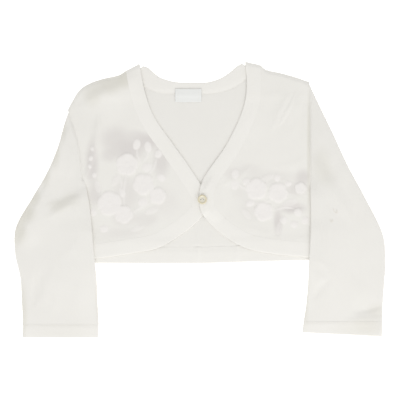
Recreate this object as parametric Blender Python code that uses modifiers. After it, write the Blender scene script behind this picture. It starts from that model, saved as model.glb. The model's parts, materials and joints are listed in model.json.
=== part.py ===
"""A child's bolero in fine knit, buttoned and laid flat on its back.

Lengths are in millimetres until a point is placed, and in metres after that. The garment lies on the
plane z = 0 with its neck towards +Y. Left and right are the viewer's, looking down on the fronts.
"""

from collections import namedtuple
from math import cos, dist, hypot, pi, sin

import bmesh
import bpy
import numpy as np
from mathutils import Vector

MM = 0.001

# Cloth and seams
WALL = 1.2
BAND_WALL = 1.8
SEAM = 0.3
NECK_SEAM = 0.35
LABEL_WALL = 1.0
BAND_WIDTH = 18.0
HEM_DEPTH = 19.0

# The middle of the laid garment, which the origin stands under
MIDDLE_X = 0.815
MIDDLE_Y = -1.001

# Heights of what lies on what
ON_BACK = WALL + SEAM
ON_BAND = BAND_WALL + SEAM
OVERLAP_LIFT = BAND_WALL + SEAM + 0.2
OVERLAP_FULL = 4.0
OVERLAP_FADE = 26.0
HEM_RAMP = (14.0, 4.0)
NECK_RAMP = (118.0, 130.0)

# The fronts roll over the back at the shoulders
ROLL = 2.6
ROLL_INSET = 2.9
SHOULDER_RUN = 180.0
SHOULDER_SLANT = 6.0
SLANT_RUN = 24.0
LAST_STEP = 1.1

# Air inside a sleeve, from its seam outwards
SLEEVE_AIR = 1.8
SLEEVE_PUFF = 0.9
MOUTH_FLAT = 1.2
MOUTH_ROLL = 3.0
LEAST_AIR = 0.35
MOST_INSET = 3.5

# Under faces of a sleeve over the side of the body and over its hem
OVER_SIDE = 3.1
OVER_HEM = 4.3
SIDE_HOLD = 2.5
SIDE_FADE = 15.0

# Numbers of cells
BOTTOM_CELLS = 20
FRONT_CELLS = 22
BAND_CELLS = 2
BACK_ROWS = 10
NECK_COLUMNS = 18
SHOULDER_COLUMNS = 3
HEM_COLUMNS = 10
SLEEVE_CELLS = 20
TOP_COLUMNS = 11
FOLD_STEPS = 4
UNDER_COLUMNS = (8.5, 22.0)
UNDER_MIDDLE = 0.55
MOUTH_SAMPLES = 121
LABEL_COLUMNS = 4

# Raised flowers on the fronts
FLOWER_RISE = 0.8

# The button
BUTTON_RADIUS = 5.7
BUTTON_HEIGHT = 3.0
BUTTON_RIM = 1.3
BUTTON_DISH = 1.1
BUTTON_HOLE_RADIUS = 0.8
BUTTON_HOLE_SPACING = 3.0
BUTTON_STEPS = 28

Point = namedtuple("Point", "x y")
NeckRow = namedtuple("NeckRow", "outer_x outer_y inner_x inner_y")
SleeveRow = namedtuple("SleeveRow", "inner_x inner_y outer_x outer_y bow")
Fold = namedtuple("Fold", "x1 y1 x2 y2 half_width height")
Flower = namedtuple("Flower", "x y radius")
Level = namedtuple("Level", "y height")

# The opening edge of each front, from the high shoulder point down the V and round to the side seam
FRONT_EDGE = {
    "left": [
        Point(-73.9, 165.4),
        Point(-70.3, 141.7),
        Point(-62.9, 116.7),
        Point(-52.4, 95.4),
        Point(-34.9, 71.1),
        Point(-13.9, 41.7),
        Point(0.7, 19.2),
        Point(7.6, 6.7),
        Point(8.6, -7.1),
        Point(2.0, -22.1),
        Point(-18.6, -40.3),
        Point(-49.9, -59.6),
        Point(-83.6, -66.8),
        Point(-138.6, -74.9),
    ],
    "right": [
        Point(56.4, 168.0),
        Point(58.0, 149.2),
        Point(56.6, 125.4),
        Point(48.4, 99.2),
        Point(31.4, 65.7),
        Point(10.4, 35.9),
        Point(2.6, 22.3),
        Point(-0.6, 9.2),
        Point(-0.7, -4.6),
        Point(3.9, -19.6),
        Point(23.9, -40.3),
        Point(53.9, -59.2),
        Point(90.1, -67.4),
        Point(142.6, -72.3),
    ],
}
APEX_Y = 1.0

# The shoulder line, from the band to the top of the armhole
SHOULDER = {
    "left": [
        Point(-91.8, 157.2),
        Point(-101.1, 153.1),
        Point(-121.1, 148.4),
        Point(-138.0, 141.2),
        Point(-152.4, 130.4),
        Point(-159.1, 119.8),
        Point(-161.1, 110.4),
    ],
    "right": [
        Point(74.5, 163.2),
        Point(82.1, 159.9),
        Point(99.6, 156.2),
        Point(117.1, 150.2),
        Point(134.9, 142.9),
    ],
}

# The side seam, from the front band up to just under the arm
SIDE = {
    "left": [
        Point(-138.6, -57.1),
        Point(-138.6, -32.1),
        Point(-138.5, -8.3),
        Point(-138.6, 4.0),
        Point(-140.1, 14.0),
        Point(-142.2, 25.0),
    ],
    "right": [
        Point(142.6, -54.6),
        Point(142.6, -32.1),
        Point(140.4, -12.0),
        Point(136.4, 3.0),
        Point(136.0, 14.0),
        Point(136.0, 26.0),
    ],
}

# Each sleeve, one row for each line across it, fanning out from under the arm and down to the cuff
SLEEVE = {
    "left": [
        SleeveRow(-143.0, 26.7, -162.0, 108.6, 4.0),
        SleeveRow(-142.4, 23.5, -167.4, 92.3, 3.0),
        SleeveRow(-141.2, 17.0, -177.4, 62.3, 1.5),
        SleeveRow(-139.3, 7.0, -190.5, 32.1, 0.5),
        SleeveRow(-136.5, -10.0, -208.6, 1.1, 0.0),
        SleeveRow(-134.1, -34.0, -227.4, -33.3, 0.0),
        SleeveRow(-132.3, -66.0, -227.9, -67.1, 0.0),
        SleeveRow(-131.0, -97.0, -222.6, -97.1, 0.0),
        SleeveRow(-129.4, -127.1, -220.6, -127.1, 0.0),
        SleeveRow(-127.6, -154.6, -219.9, -154.6, 0.0),
    ],
    "right": [
        SleeveRow(136.4, 25.9, 135.5, 143.6, 0.0),
        SleeveRow(136.5, 22.5, 146.4, 119.2, 0.0),
        SleeveRow(136.7, 16.0, 164.6, 83.4, 0.0),
        SleeveRow(136.9, 5.0, 183.9, 41.7, 0.0),
        SleeveRow(137.3, -14.0, 207.6, -0.8, 0.0),
        SleeveRow(137.0, -40.0, 228.2, -43.3, 0.0),
        SleeveRow(136.6, -72.0, 230.5, -78.3, 0.0),
        SleeveRow(136.1, -103.0, 228.9, -107.1, 0.0),
        SleeveRow(133.2, -131.5, 227.2, -132.1, 0.0),
        SleeveRow(131.4, -151.4, 226.4, -151.4, 0.0),
    ],
}
CUFF_END = {
    "left": SleeveRow(-127.4, -171.4, -220.3, -170.8, 0.0),
    "right": SleeveRow(130.1, -163.9, 225.1, -167.9, 0.0),
}

# How high a sleeve's under face lies along the body: over the side, over the hem and off it
LIFT_LEVELS = [
    Level(24.0, 0.0),
    Level(6.0, OVER_SIDE),
    Level(-26.0, OVER_SIDE),
    Level(-38.0, OVER_HEM),
    Level(-84.0, OVER_HEM),
    Level(-104.0, 0.0),
]

# Where the body's side edge meets the armhole, as shares of the seam from under the arm to the shoulder
ARMHOLE_SHARES = (0.12, 0.3, 0.5, 0.7, 0.85, 1.026)
BACK_ARMHOLE_END = 0.99

# The band along the back of the neck, from the left shoulder to the right
NECK_BAND = [
    NeckRow(-70.2, 163.8, -86.6, 155.2),
    NeckRow(-65.5, 162.3, -78.0, 145.4),
    NeckRow(-59.3, 157.2, -69.2, 139.2),
    NeckRow(-50.5, 152.1, -58.0, 133.9),
    NeckRow(-40.5, 148.3, -45.5, 131.2),
    NeckRow(-28.6, 145.7, -30.5, 130.3),
    NeckRow(-9.9, 145.1, -9.9, 130.1),
    NeckRow(10.1, 145.7, 12.0, 130.7),
    NeckRow(25.1, 150.4, 31.4, 133.8),
    NeckRow(37.2, 157.9, 47.6, 141.1),
    NeckRow(45.1, 164.8, 58.9, 149.8),
    NeckRow(52.0, 167.6, 69.6, 158.6),
]

# The lower edge of the back
HEM = [
    Point(-138.6, -77.8),
    Point(-62.4, -78.4),
    Point(5.1, -78.3),
    Point(68.9, -76.4),
    Point(142.6, -74.4),
]

BUTTON_PLACE = Point(3.0, -0.2)
LABEL_LOW = Point(-30.7, 120.8)
LABEL_HIGH = Point(2.0, 137.3)
LABEL_STEP = (129.3, 125.0)

# Soft ridges and troughs in the upper cloth, one row each
FRONT_FOLDS = {
    "left": [
        Fold(-121.5, 103.3, -132.0, 50.0, 11.0, 1.1),
        Fold(-135.0, 124.0, -98.0, 138.0, 14.0, 1.0),
        Fold(-104.0, 96.0, -84.0, 66.0, 20.0, 0.5),
        Fold(-60.0, 40.0, -50.0, -8.0, 22.0, 0.6),
    ],
    "right": [
        Fold(111.0, 130.0, 90.0, 88.0, 10.0, 1.0),
        Fold(124.0, 128.0, 108.0, 92.0, 9.0, 0.7),
        Fold(66.0, 120.0, 60.0, 74.0, 16.0, 0.6),
        Fold(52.0, 22.0, 96.0, 4.0, 16.0, 0.6),
    ],
}
SLEEVE_FOLDS = {
    "left": [
        Fold(-193.6, 1.7, -154.0, 21.0, 13.0, 1.1),
        Fold(-186.5, -16.7, -149.9, 6.7, 10.0, -1.3),
        Fold(-184.9, -31.0, -148.0, -13.0, 12.0, 0.8),
        Fold(-196.5, -89.6, -206.5, -129.6, 10.0, -1.0),
        Fold(-183.0, -85.8, -191.0, -128.0, 12.0, 0.7),
    ],
    "right": [
        Fold(151.0, 57.0, 160.0, 36.0, 15.0, -0.9),
        Fold(172.0, 44.0, 180.0, 16.0, 14.0, 0.6),
        Fold(142.0, -79.6, 160.1, -97.1, 10.0, -0.8),
        Fold(160.1, -97.1, 140.0, -122.0, 10.0, -0.8),
        Fold(193.5, -139.6, 221.0, -133.3, 9.0, -0.8),
        Fold(190.0, -126.0, 220.0, -120.0, 11.0, 0.8),
    ],
}

FLOWERS = {
    "left": [
        Flower(-89.0, 45.0, 13.5),
        Flower(-66.0, 19.0, 13.0),
        Flower(-112.0, -6.0, 15.0),
        Flower(-47.0, 3.0, 9.0),
        Flower(-88.0, -24.0, 11.0),
    ],
    "right": [
        Flower(73.0, 14.0, 14.0),
        Flower(101.0, 8.0, 14.0),
        Flower(124.0, 17.0, 9.0),
        Flower(78.0, -18.0, 10.0),
    ],
}

KNIT_COLOUR = (0.86, 0.83, 0.78)
FLOWER_KNIT_COLOUR = (0.82, 0.79, 0.76)
RIB_COLOUR = (0.87, 0.84, 0.79)
LABEL_COLOUR = (0.86, 0.87, 0.85)
BUTTON_COLOUR = (0.72, 0.69, 0.58)


def smooth_step(start, end, value):
    """0 before start, 1 after end, and a soft curve between them. start may be the larger."""
    share = min(max((value - start) / (end - start), 0.0), 1.0)
    return share * share * (3.0 - 2.0 * share)


def level(table, value):
    """The height that a table of (place, height) rows gives at a place, eased from row to row."""
    if value >= table[0][0]:
        return table[0][1]
    for (here, low), (after, high) in zip(table, table[1:]):
        if value >= after:
            return low + (high - low) * smooth_step(here, after, value)
    return table[-1][1]


def spline(rows, position):
    """The smooth line through a table's rows, at a position counted in rows."""
    last = len(rows) - 1
    index = min(max(int(position), 0), last - 1)
    share = position - index
    here = rows[index]
    after = rows[index + 1]
    before = rows[index - 1] if index > 0 else 2 * here - after
    beyond = rows[index + 2] if index + 2 <= last else 2 * after - here
    linear = after - before
    square = 2 * before - 5 * here + 4 * after - beyond
    cube = 3 * here - before - 3 * after + beyond
    return here + 0.5 * (linear * share + square * share**2 + cube * share**3)


class Line:
    """A smooth line through a table's points, read by its share of the whole length."""

    STEPS = 24

    def __init__(self, rows):
        self.rows = np.array(rows, float)
        self.positions = np.linspace(0.0, len(rows) - 1, (len(rows) - 1) * self.STEPS + 1)
        self.points = np.array([spline(self.rows, position) for position in self.positions])
        steps = np.hypot(*np.diff(self.points[:, :2], axis=0).T)
        self.lengths = np.concatenate([[0.0], np.cumsum(steps)])
        self.length = self.lengths[-1]

    def position(self, share):
        """Where in the table a share of the length lies."""
        return np.interp(share * self.length, self.lengths, self.positions)

    def at(self, share):
        """The point at a share of the length."""
        return spline(self.rows, self.position(share))

    def direction(self, share):
        """The unit direction of the line at a share of the length."""
        ahead = self.at(min(share + 0.004, 1.0)) - self.at(max(share - 0.004, 0.0))
        return ahead / hypot(*ahead)

    def share_at_height(self, y):
        """The share of the length at which the line first comes down to y."""
        index = int(np.argmax(self.points[:, 1] <= y))
        return self.lengths[index] / self.length


def fold_height(folds, x, y):
    """The sum of the soft ridges and troughs at a point. Each ends at its own half width."""
    height = 0.0
    for fold in folds:
        run_x = fold.x2 - fold.x1
        run_y = fold.y2 - fold.y1
        share = ((x - fold.x1) * run_x + (y - fold.y1) * run_y) / (run_x**2 + run_y**2)
        share = min(max(share, 0.0), 1.0)
        away = hypot(x - fold.x1 - share * run_x, y - fold.y1 - share * run_y)
        height += fold.height * max(0.0, 1.0 - (away / fold.half_width) ** 2) ** 2
    return height


def armhole_point(row, share):
    """A point on the bowed line across a sleeve, from its inner edge to its outer edge."""
    share = float(share)
    inner = Vector((row.inner_x, row.inner_y))
    outer = Vector((row.outer_x, row.outer_y))
    run = outer - inner
    sideways = Vector((run.y, -run.x)).normalized()
    if sideways.x < 0.0:
        sideways = -sideways
    return inner + share * run + sideways * row.bow * 4.0 * share * (1.0 - share)


def inset_row(rows, position, wall):
    """The ends of the line across the inner surface, a wall in from the sleeve's two edges."""
    row = SleeveRow(*spline(rows, position))
    step = spline(rows, position + 0.05) - spline(rows, max(position - 0.05, 0.0))
    down_inner = Vector(step[:2]).normalized()
    down_outer = Vector(step[2:4]).normalized()
    across = Vector((row.outer_x - row.inner_x, row.outer_y - row.inner_y)).normalized()
    square = Vector((-down_inner.y, down_inner.x))
    if square.x * row.inner_x < 0.0:
        square = -square
    back = min(wall / max(abs(across.cross(down_outer)), 0.1), MOST_INSET)
    inner = Vector((row.inner_x, row.inner_y)) + square * wall
    outer = Vector((row.outer_x, row.outer_y)) - across * back
    return SleeveRow(inner.x, inner.y, outer.x, outer.y, row.bow)


def shares_to_shoulder(cells):
    """Shares from the bottom to the shoulder, even up to the roll and then close together."""
    even = np.linspace(0.0, 1.0 - ROLL / SHOULDER_RUN, cells - 1)
    return [*even, 1.0 - LAST_STEP / SHOULDER_RUN, 1.0]


def roll_drop(share, height):
    """How far the cloth comes down where it rolls over the shoulder."""
    away = (1.0 - share) * SHOULDER_RUN
    return (height - 0.1) * (1.0 - min(away, ROLL) / ROLL) ** 2


def hem_y(x):
    """The lower edge of the back at x."""
    return float(np.interp(x, [point.x for point in HEM], [point.y for point in HEM]))


class Front:
    """One front: its opening edge, the band along it and the panel behind the band."""

    def __init__(self, side):
        self.side = side
        self.outward = -1.0 if side == "left" else 1.0
        self.edge = Line(FRONT_EDGE[side])
        apex = self.edge.share_at_height(APEX_Y)
        bottom = [1.0 + (apex - 1.0) * step / BOTTOM_CELLS for step in range(BOTTOM_CELLS)]
        self.rises = shares_to_shoulder(FRONT_CELLS)
        self.stations = bottom + [apex * (1.0 - rise) for rise in self.rises]
        self.mouth = inset_row(np.array(SLEEVE[side]), 0.0, WALL)

    def inside_edge(self, station, depth):
        """The point that lies a depth in from the opening edge. At the shoulder it follows the seam."""
        share = self.stations[station]
        point = self.edge.at(share)
        ahead = self.edge.direction(share)
        inward = np.array([-ahead[1], ahead[0]]) * self.outward
        slant = SHOULDER_SLANT * max(0.0, 1.0 - share * self.edge.length / SLANT_RUN)
        return point + inward * depth + ahead * slant * depth / BAND_WIDTH

    def rest(self, x, y):
        """The height of the cloth's under face: on the back, the bands and the other front."""
        over_hem = smooth_step(hem_y(x) + HEM_DEPTH + HEM_RAMP[0], hem_y(x) + HEM_DEPTH + HEM_RAMP[1], y)
        over_neck = smooth_step(*NECK_RAMP, y)
        height = ON_BACK + (ON_BAND - ON_BACK) * max(over_hem, over_neck)
        if self.side == "right":
            clear = x - self.other_edge(y) - OVERLAP_FULL
            height += OVERLAP_LIFT * (1.0 - smooth_step(0.0, OVERLAP_FADE, clear))
        return height + fold_height(FRONT_FOLDS[self.side], x, y)

    def other_edge(self, y):
        """How far to the right the left front reaches at y."""
        near = LEFT_EDGE.points[np.abs(LEFT_EDGE.points[:, 1] - y) < 2.0]
        return float(near[:, 0].max()) if len(near) else LEFT_EDGE.points[:, 0].min()

    def band_point(self, column, row):
        """A point of the band: column along the opening edge, row across the band."""
        x, y = self.inside_edge(column, BAND_WIDTH * row / BAND_CELLS)
        height = self.rest(x, y)
        if column >= BOTTOM_CELLS:
            height -= roll_drop(self.rises[column - BOTTOM_CELLS], height)
        return x, y, height

    def outline(self):
        """The panel's four edges: bottom, shoulder, side and front, each a list of points."""
        depth = BAND_WIDTH + SEAM
        inner = [self.inside_edge(station, depth) for station in range(len(self.stations))]
        bottom = inner[: BOTTOM_CELLS + 1]
        front = inner[BOTTOM_CELLS:]
        seam = Vector((-SEAM * self.outward, 0.0))
        armhole = [armhole_point(self.mouth, share) + seam for share in ARMHOLE_SHARES]
        side = Line([bottom[0], *SIDE[self.side][1:], *armhole])
        side_points = [side.at(rise) for rise in self.rises]
        shoulder = Line([side_points[-1], *reversed(SHOULDER[self.side][1:-1]), front[-1]])
        top = [shoulder.at(step / BOTTOM_CELLS) for step in range(BOTTOM_CELLS + 1)]
        return bottom, top, side_points, front

    def flower_weight(self, x, y):
        """The share of the full thickness: more on a flower, with a soft edge and a hollow heart."""
        rise = 0.0
        for flower in FLOWERS[self.side]:
            away = dist((x, y), (flower.x, flower.y)) / flower.radius
            dome = 1.0 - smooth_step(0.7, 1.1, away)
            rise = max(rise, dome * (0.75 + 0.25 * smooth_step(0.0, 0.4, away)))
        return (WALL + FLOWER_RISE * rise) / (WALL + FLOWER_RISE)


LEFT_EDGE = Line(FRONT_EDGE["left"])


def patch(bottom, top, side, front, shares_across, shares_up):
    """A function that gives the point at a column and row of the surface between four edges."""
    low_side, low_front, high_side, high_front = bottom[0], bottom[-1], top[0], top[-1]

    def point(column, row):
        across = shares_across[column]
        up = shares_up[row]
        ruled_up = (1.0 - up) * np.array(bottom[column]) + up * np.array(top[column])
        ruled_across = (1.0 - across) * np.array(side[row]) + across * np.array(front[row])
        corners = (1.0 - up) * ((1.0 - across) * np.array(low_side) + across * np.array(low_front))
        corners = corners + up * ((1.0 - across) * np.array(high_side) + across * np.array(high_front))
        return ruled_up + ruled_across - corners

    return point


def principled(name, colour, roughness):
    """A material of one colour for a piece."""
    material = bpy.data.materials.new(name)
    material.use_nodes = True
    shader = material.node_tree.nodes["Principled BSDF"]
    shader.inputs["Base Color"].default_value = (*colour, 1.0)
    shader.inputs["Roughness"].default_value = roughness
    shader.inputs["Metallic"].default_value = 0.0
    material.diffuse_color = (*colour, 1.0)
    return material


def add_object(name, mesh, material):
    """An object in the garment's collection."""
    mesh.materials.append(material)
    thing = bpy.data.objects.new(name, mesh)
    bpy.data.collections["bolero"].objects.link(thing)
    return thing


def cloth(name, cells, place, wall, material, weight=None, tube=False):
    """A cloth wall on an under or inner surface that place(column, row) gives, thickened outwards."""
    columns, rows = cells
    shape = bmesh.new()
    bmesh.ops.create_grid(shape, x_segments=columns, y_segments=rows, size=0.5)
    weights = shape.verts.layers.deform.verify()
    for vertex in shape.verts:
        column = round((vertex.co.x + 0.5) * columns)
        row = round((vertex.co.y + 0.5) * rows)
        x, y, z = place(column % columns if tube else column, row)
        vertex[weights][0] = weight(x, y) if weight else 1.0
        vertex.co = Vector((x - MIDDLE_X, y - MIDDLE_Y, z)) * MM
    if tube:
        bmesh.ops.remove_doubles(shape, verts=shape.verts, dist=1e-6)
    shape.normal_update()
    highest = max(shape.faces, key=lambda face: face.calc_center_median().z)
    if highest.normal.z < 0.0:
        bmesh.ops.reverse_faces(shape, faces=shape.faces)
    mesh = bpy.data.meshes.new(name)
    shape.to_mesh(mesh)
    shape.free()
    mesh.shade_smooth()
    thing = add_object(name, mesh, material)
    thing.vertex_groups.new(name="thickness")
    solid = thing.modifiers.new("Wall", "SOLIDIFY")
    solid.thickness = wall * MM
    solid.offset = 1.0
    if weight:
        solid.vertex_group = "thickness"
    return thing


def build_front(side, knit, rib):
    """The panel and the band of one front."""
    front = Front(side)
    bottom, top, side_points, edge = front.outline()
    across = [step / BOTTOM_CELLS for step in range(BOTTOM_CELLS + 1)]
    surface = patch(bottom, top, side_points, edge, across, front.rises)

    def place(column, row):
        x, y = surface(column, row)
        height = front.rest(x, y)
        return x, y, height - roll_drop(front.rises[row], height)

    panel_cells = (BOTTOM_CELLS, FRONT_CELLS)
    cloth(f"front_panel_{side}", panel_cells, place, WALL + FLOWER_RISE, knit, front.flower_weight)
    band_cells = (BOTTOM_CELLS + FRONT_CELLS, BAND_CELLS)
    cloth(f"front_band_{side}", band_cells, front.band_point, BAND_WALL, rib)


def neck_section(share):
    """The outer and inner points of the neck band at a share of its rows."""
    section = spline(np.array(NECK_BAND), share * (len(NECK_BAND) - 1))
    return section[:2], section[2:]


def back_side(side, outward):
    """The back's side edge, from the hem band up to the roll of the shoulder."""
    first = SIDE[side][0].x
    seam = Vector((-SEAM * outward, 0.0))
    mouth = inset_row(np.array(SLEEVE[side]), 0.0, WALL)
    shares = (*ARMHOLE_SHARES[:-1], BACK_ARMHOLE_END)
    armhole = [armhole_point(mouth, share) + seam for share in shares]
    line = Line([(first, hem_y(first) + HEM_DEPTH + SEAM), *SIDE[side][1:], *armhole])
    return [line.at(row / BACK_ROWS) for row in range(BACK_ROWS + 1)]


def build_back(knit):
    """The back panel, flat on the floor, cut in under the rolled shoulders and along the neck band."""
    left = back_side("left", -1.0)
    right = back_side("right", 1.0)
    neck = []
    for column in range(NECK_COLUMNS + 1):
        outer, inner = neck_section(column / NECK_COLUMNS)
        neck.append(inner + (inner - outer) / hypot(*(inner - outer)) * NECK_SEAM)
    shoulders = {}
    for side, corner, end in (("left", left[-1], neck[0]), ("right", right[-1], neck[-1])):
        inset = [(point.x, point.y - ROLL_INSET) for point in SHOULDER[side][1:-1]]
        line = Line([corner, *reversed(inset), end])
        shoulders[side] = [line.at(column / SHOULDER_COLUMNS) for column in range(SHOULDER_COLUMNS)]
    top = [*shoulders["left"], *neck, *reversed(shoulders["right"])]
    width = right[0][0] - left[0][0]
    across = [(point[0] - top[0][0]) / (top[-1][0] - top[0][0]) for point in top]
    bottom_x = [left[0][0] + width * share for share in across]
    bottom = [(x, hem_y(x) + HEM_DEPTH + SEAM) for x in bottom_x]
    up = [row / BACK_ROWS for row in range(BACK_ROWS + 1)]
    surface = patch(bottom, top, left, right, across, up)
    cells = (len(top) - 1, BACK_ROWS)
    cloth("back_panel", cells, lambda column, row: (*surface(column, row), 0.0), WALL, knit)


def build_hem_band(rib):
    """The band along the lower edge of the back."""
    first = SIDE["left"][0].x
    last = SIDE["right"][0].x

    def place(column, row):
        x = first + (last - first) * column / HEM_COLUMNS
        return x, hem_y(x) + HEM_DEPTH * row, 0.0

    cloth("back_hem_band", (HEM_COLUMNS, 1), place, BAND_WALL, rib)


def build_neck_band(rib):
    """The band along the back of the neck."""

    def place(column, row):
        outer, inner = neck_section(column / NECK_COLUMNS)
        return *(inner + (outer - inner) * row / BAND_CELLS), 0.0

    cloth("neck_band", (NECK_COLUMNS, BAND_CELLS), place, BAND_WALL, rib)


class Sleeve:
    """One sleeve: a tube pressed flat, its inner edge over the side of the body."""

    def __init__(self, side):
        self.side = side
        self.outward = -1.0 if side == "left" else 1.0
        self.front = Front(side)
        rows = [*SLEEVE[side], CUFF_END[side]]
        self.rows = np.array(rows)
        middle = [((row.inner_x + row.outer_x) / 2, (row.inner_y + row.outer_y) / 2) for row in rows]
        self.middle = Line(middle)
        self.seam_share = self.middle.lengths[(len(rows) - 2) * Line.STEPS] / self.middle.length
        mouth = inset_row(self.rows, 0.0, WALL)
        shares = np.linspace(0.0, 1.0, MOUTH_SAMPLES)
        self.mouth = np.array([armhole_point(mouth, share) for share in shares])

    def side_x(self, y):
        """The side of the body at y."""
        table = sorted((point.y, point.x) for point in SIDE[self.side])
        return float(np.interp(y, [row[0] for row in table], [row[1] for row in table]))

    def lift(self, x, y):
        """The height of the sleeve's under face over the floor."""
        beyond = (x - self.side_x(y)) * self.outward
        return level(LIFT_LEVELS, y) * (1.0 - smooth_step(SIDE_HOLD, SIDE_FADE, beyond))

    def from_mouth(self, x, y):
        """The distance in plan from the seam at the armhole."""
        return float(np.hypot(*(self.mouth - (x, y)).T).min())

    def air(self, x, y, across):
        """The space between the two layers, none of it under the least that keeps them apart."""
        away = self.from_mouth(x, y)
        at_mouth = self.front.rest(x, y) - WALL if away < MOUTH_FLAT + MOUTH_ROLL else SLEEVE_AIR
        rolled = smooth_step(MOUTH_FLAT, MOUTH_FLAT + MOUTH_ROLL, away)
        air = at_mouth + (SLEEVE_AIR - at_mouth) * rolled
        air += SLEEVE_PUFF * rolled * sin(pi * across) ** 0.7
        return max(LEAST_AIR, air + rolled * fold_height(SLEEVE_FOLDS[self.side], x, y))

    def loop(self, share, wall):
        """The points round the inner surface at a share of the sleeve's length."""
        row = inset_row(self.rows, self.middle.position(share), wall)
        inside = dist((row.inner_x, row.inner_y), (row.outer_x, row.outer_y))

        def plan(distance):
            return armhole_point(row, distance / inside)

        def heights(distance):
            x, y = plan(distance)
            floor = wall + self.lift(x, y)
            return floor, floor + self.air(x, y, distance / inside) - (wall - WALL)

        ends = []
        for distance in (0.0, inside):
            floor, top = heights(distance)
            ends.append(((floor + top) / 2, (top - floor) / 2))
        points = []
        (inner_middle, inner_radius), (outer_middle, outer_radius) = ends
        under = (inner_radius, *UNDER_COLUMNS, UNDER_MIDDLE * inside, inside - outer_radius)
        for distance in under:
            points.append((*plan(distance), heights(distance)[0]))
        for step in range(1, FOLD_STEPS):
            turn = pi * step / FOLD_STEPS - pi / 2
            distance = inside - outer_radius + outer_radius * cos(turn)
            points.append((*plan(distance), outer_middle + outer_radius * sin(turn)))
        first = inside - outer_radius
        for step in range(TOP_COLUMNS):
            distance = first + (inner_radius - first) * step / (TOP_COLUMNS - 1)
            points.append((*plan(distance), heights(distance)[1]))
        for step in range(1, FOLD_STEPS):
            turn = pi * step / FOLD_STEPS + pi / 2
            distance = inner_radius + inner_radius * cos(turn)
            points.append((*plan(distance), inner_middle + inner_radius * sin(turn)))
        return points


def build_sleeve(side, knit, rib):
    """The sleeve and its cuff band."""
    sleeve = Sleeve(side)
    flat = MOUTH_FLAT / sleeve.middle.length
    risen = (MOUTH_FLAT + MOUTH_ROLL) / sleeve.middle.length
    last = sleeve.seam_share - SEAM / sleeve.middle.length
    even = np.linspace(risen, last, SLEEVE_CELLS - 1)
    loops = [sleeve.loop(share, WALL) for share in (0.0, flat, *even)]
    cells = (len(loops[0]), len(loops) - 1)
    cloth(f"sleeve_{side}", cells, lambda column, row: loops[row][column], WALL, knit, tube=True)
    cuff = [sleeve.loop(share, BAND_WALL) for share in np.linspace(sleeve.seam_share, 1.0, 3)]
    cells = (len(cuff[0]), len(cuff) - 1)
    cloth(f"cuff_{side}", cells, lambda column, row: cuff[row][column], BAND_WALL, rib, tube=True)


def build_label(woven):
    """The bare woven label in the back of the neck, half on the band and half on the panel."""
    ys = [LABEL_LOW.y, *reversed(LABEL_STEP), LABEL_HIGH.y]

    def place(column, row):
        x = LABEL_LOW.x + (LABEL_HIGH.x - LABEL_LOW.x) * column / LABEL_COLUMNS
        y = ys[row]
        return x, y, ON_BACK + (ON_BAND - ON_BACK) * smooth_step(*reversed(LABEL_STEP), y)

    cloth("neck_label", (LABEL_COLUMNS, len(ys) - 1), place, LABEL_WALL, woven)


def build_button(gloss):
    """The button on the right front's band: a turned disc with a raised rim and two holes."""
    seat = ON_BACK + OVERLAP_LIFT + BAND_WALL + SEAM
    dish = BUTTON_HEIGHT - BUTTON_DISH
    profile = [
        (0.0, dish),
        (BUTTON_RADIUS - BUTTON_RIM - 1.0, dish),
        (BUTTON_RADIUS - BUTTON_RIM, BUTTON_HEIGHT - 0.2),
        (BUTTON_RADIUS - 0.9, BUTTON_HEIGHT),
        (BUTTON_RADIUS - 0.3, BUTTON_HEIGHT - 0.4),
        (BUTTON_RADIUS, 0.5 * BUTTON_HEIGHT),
        (BUTTON_RADIUS - 0.8, 0.3),
        (BUTTON_RADIUS - 2.0, 0.0),
        (0.0, 0.0),
    ]
    mesh = bpy.data.meshes.new("button")
    points = [(radius * MM, 0.0, height * MM) for radius, height in profile]
    mesh.from_pydata(points, [(index, index + 1) for index in range(len(points) - 1)], [])
    button = add_object("button", mesh, gloss)
    button.location = Vector((BUTTON_PLACE.x - MIDDLE_X, BUTTON_PLACE.y - MIDDLE_Y, seat)) * MM
    screw = button.modifiers.new("Turned", "SCREW")
    screw.steps = BUTTON_STEPS
    screw.render_steps = BUTTON_STEPS
    screw.use_merge_vertices = True
    screw.merge_threshold = 0.0001
    for number, offset in enumerate((-0.5, 0.5), start=1):
        shape = bmesh.new()
        bmesh.ops.create_cone(
            shape,
            cap_ends=True,
            segments=12,
            radius1=BUTTON_HOLE_RADIUS * MM,
            radius2=BUTTON_HOLE_RADIUS * MM,
            depth=3 * BUTTON_HEIGHT * MM,
        )
        bit = bpy.data.meshes.new(f"hole_{number}")
        shape.to_mesh(bit)
        shape.free()
        cutter = bpy.data.objects.new(f"hole_{number}", bit)
        cutter.location = button.location + Vector((offset * BUTTON_HOLE_SPACING * MM, 0.0, 0.0))
        cutter.hide_render = True
        cutter.display_type = "WIRE"
        bpy.data.collections["cutters"].objects.link(cutter)
        hole = button.modifiers.new(f"Hole {number}", "BOOLEAN")
        hole.operation = "DIFFERENCE"
        hole.solver = "EXACT"
        hole.object = cutter


def clear_scene():
    """Remove what the scene holds and add the garment's collections."""
    for thing in list(bpy.data.objects):
        bpy.data.objects.remove(thing)
    for name in ("bolero", "cutters"):
        collection = bpy.data.collections.new(name)
        bpy.context.scene.collection.children.link(collection)


def main():
    clear_scene()
    knit = principled("fine_knit", KNIT_COLOUR, 0.9)
    flowered = principled("flowered_knit", FLOWER_KNIT_COLOUR, 0.9)
    rib = principled("doubled_band", RIB_COLOUR, 0.9)
    woven = principled("woven_label", LABEL_COLOUR, 0.7)
    gloss = principled("button_resin", BUTTON_COLOUR, 0.35)
    build_back(knit)
    build_hem_band(rib)
    build_neck_band(rib)
    for side in ("left", "right"):
        build_front(side, flowered, rib)
        build_sleeve(side, knit, rib)
    build_label(woven)
    build_button(gloss)


if __name__ == "__main__":
    main()
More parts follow.
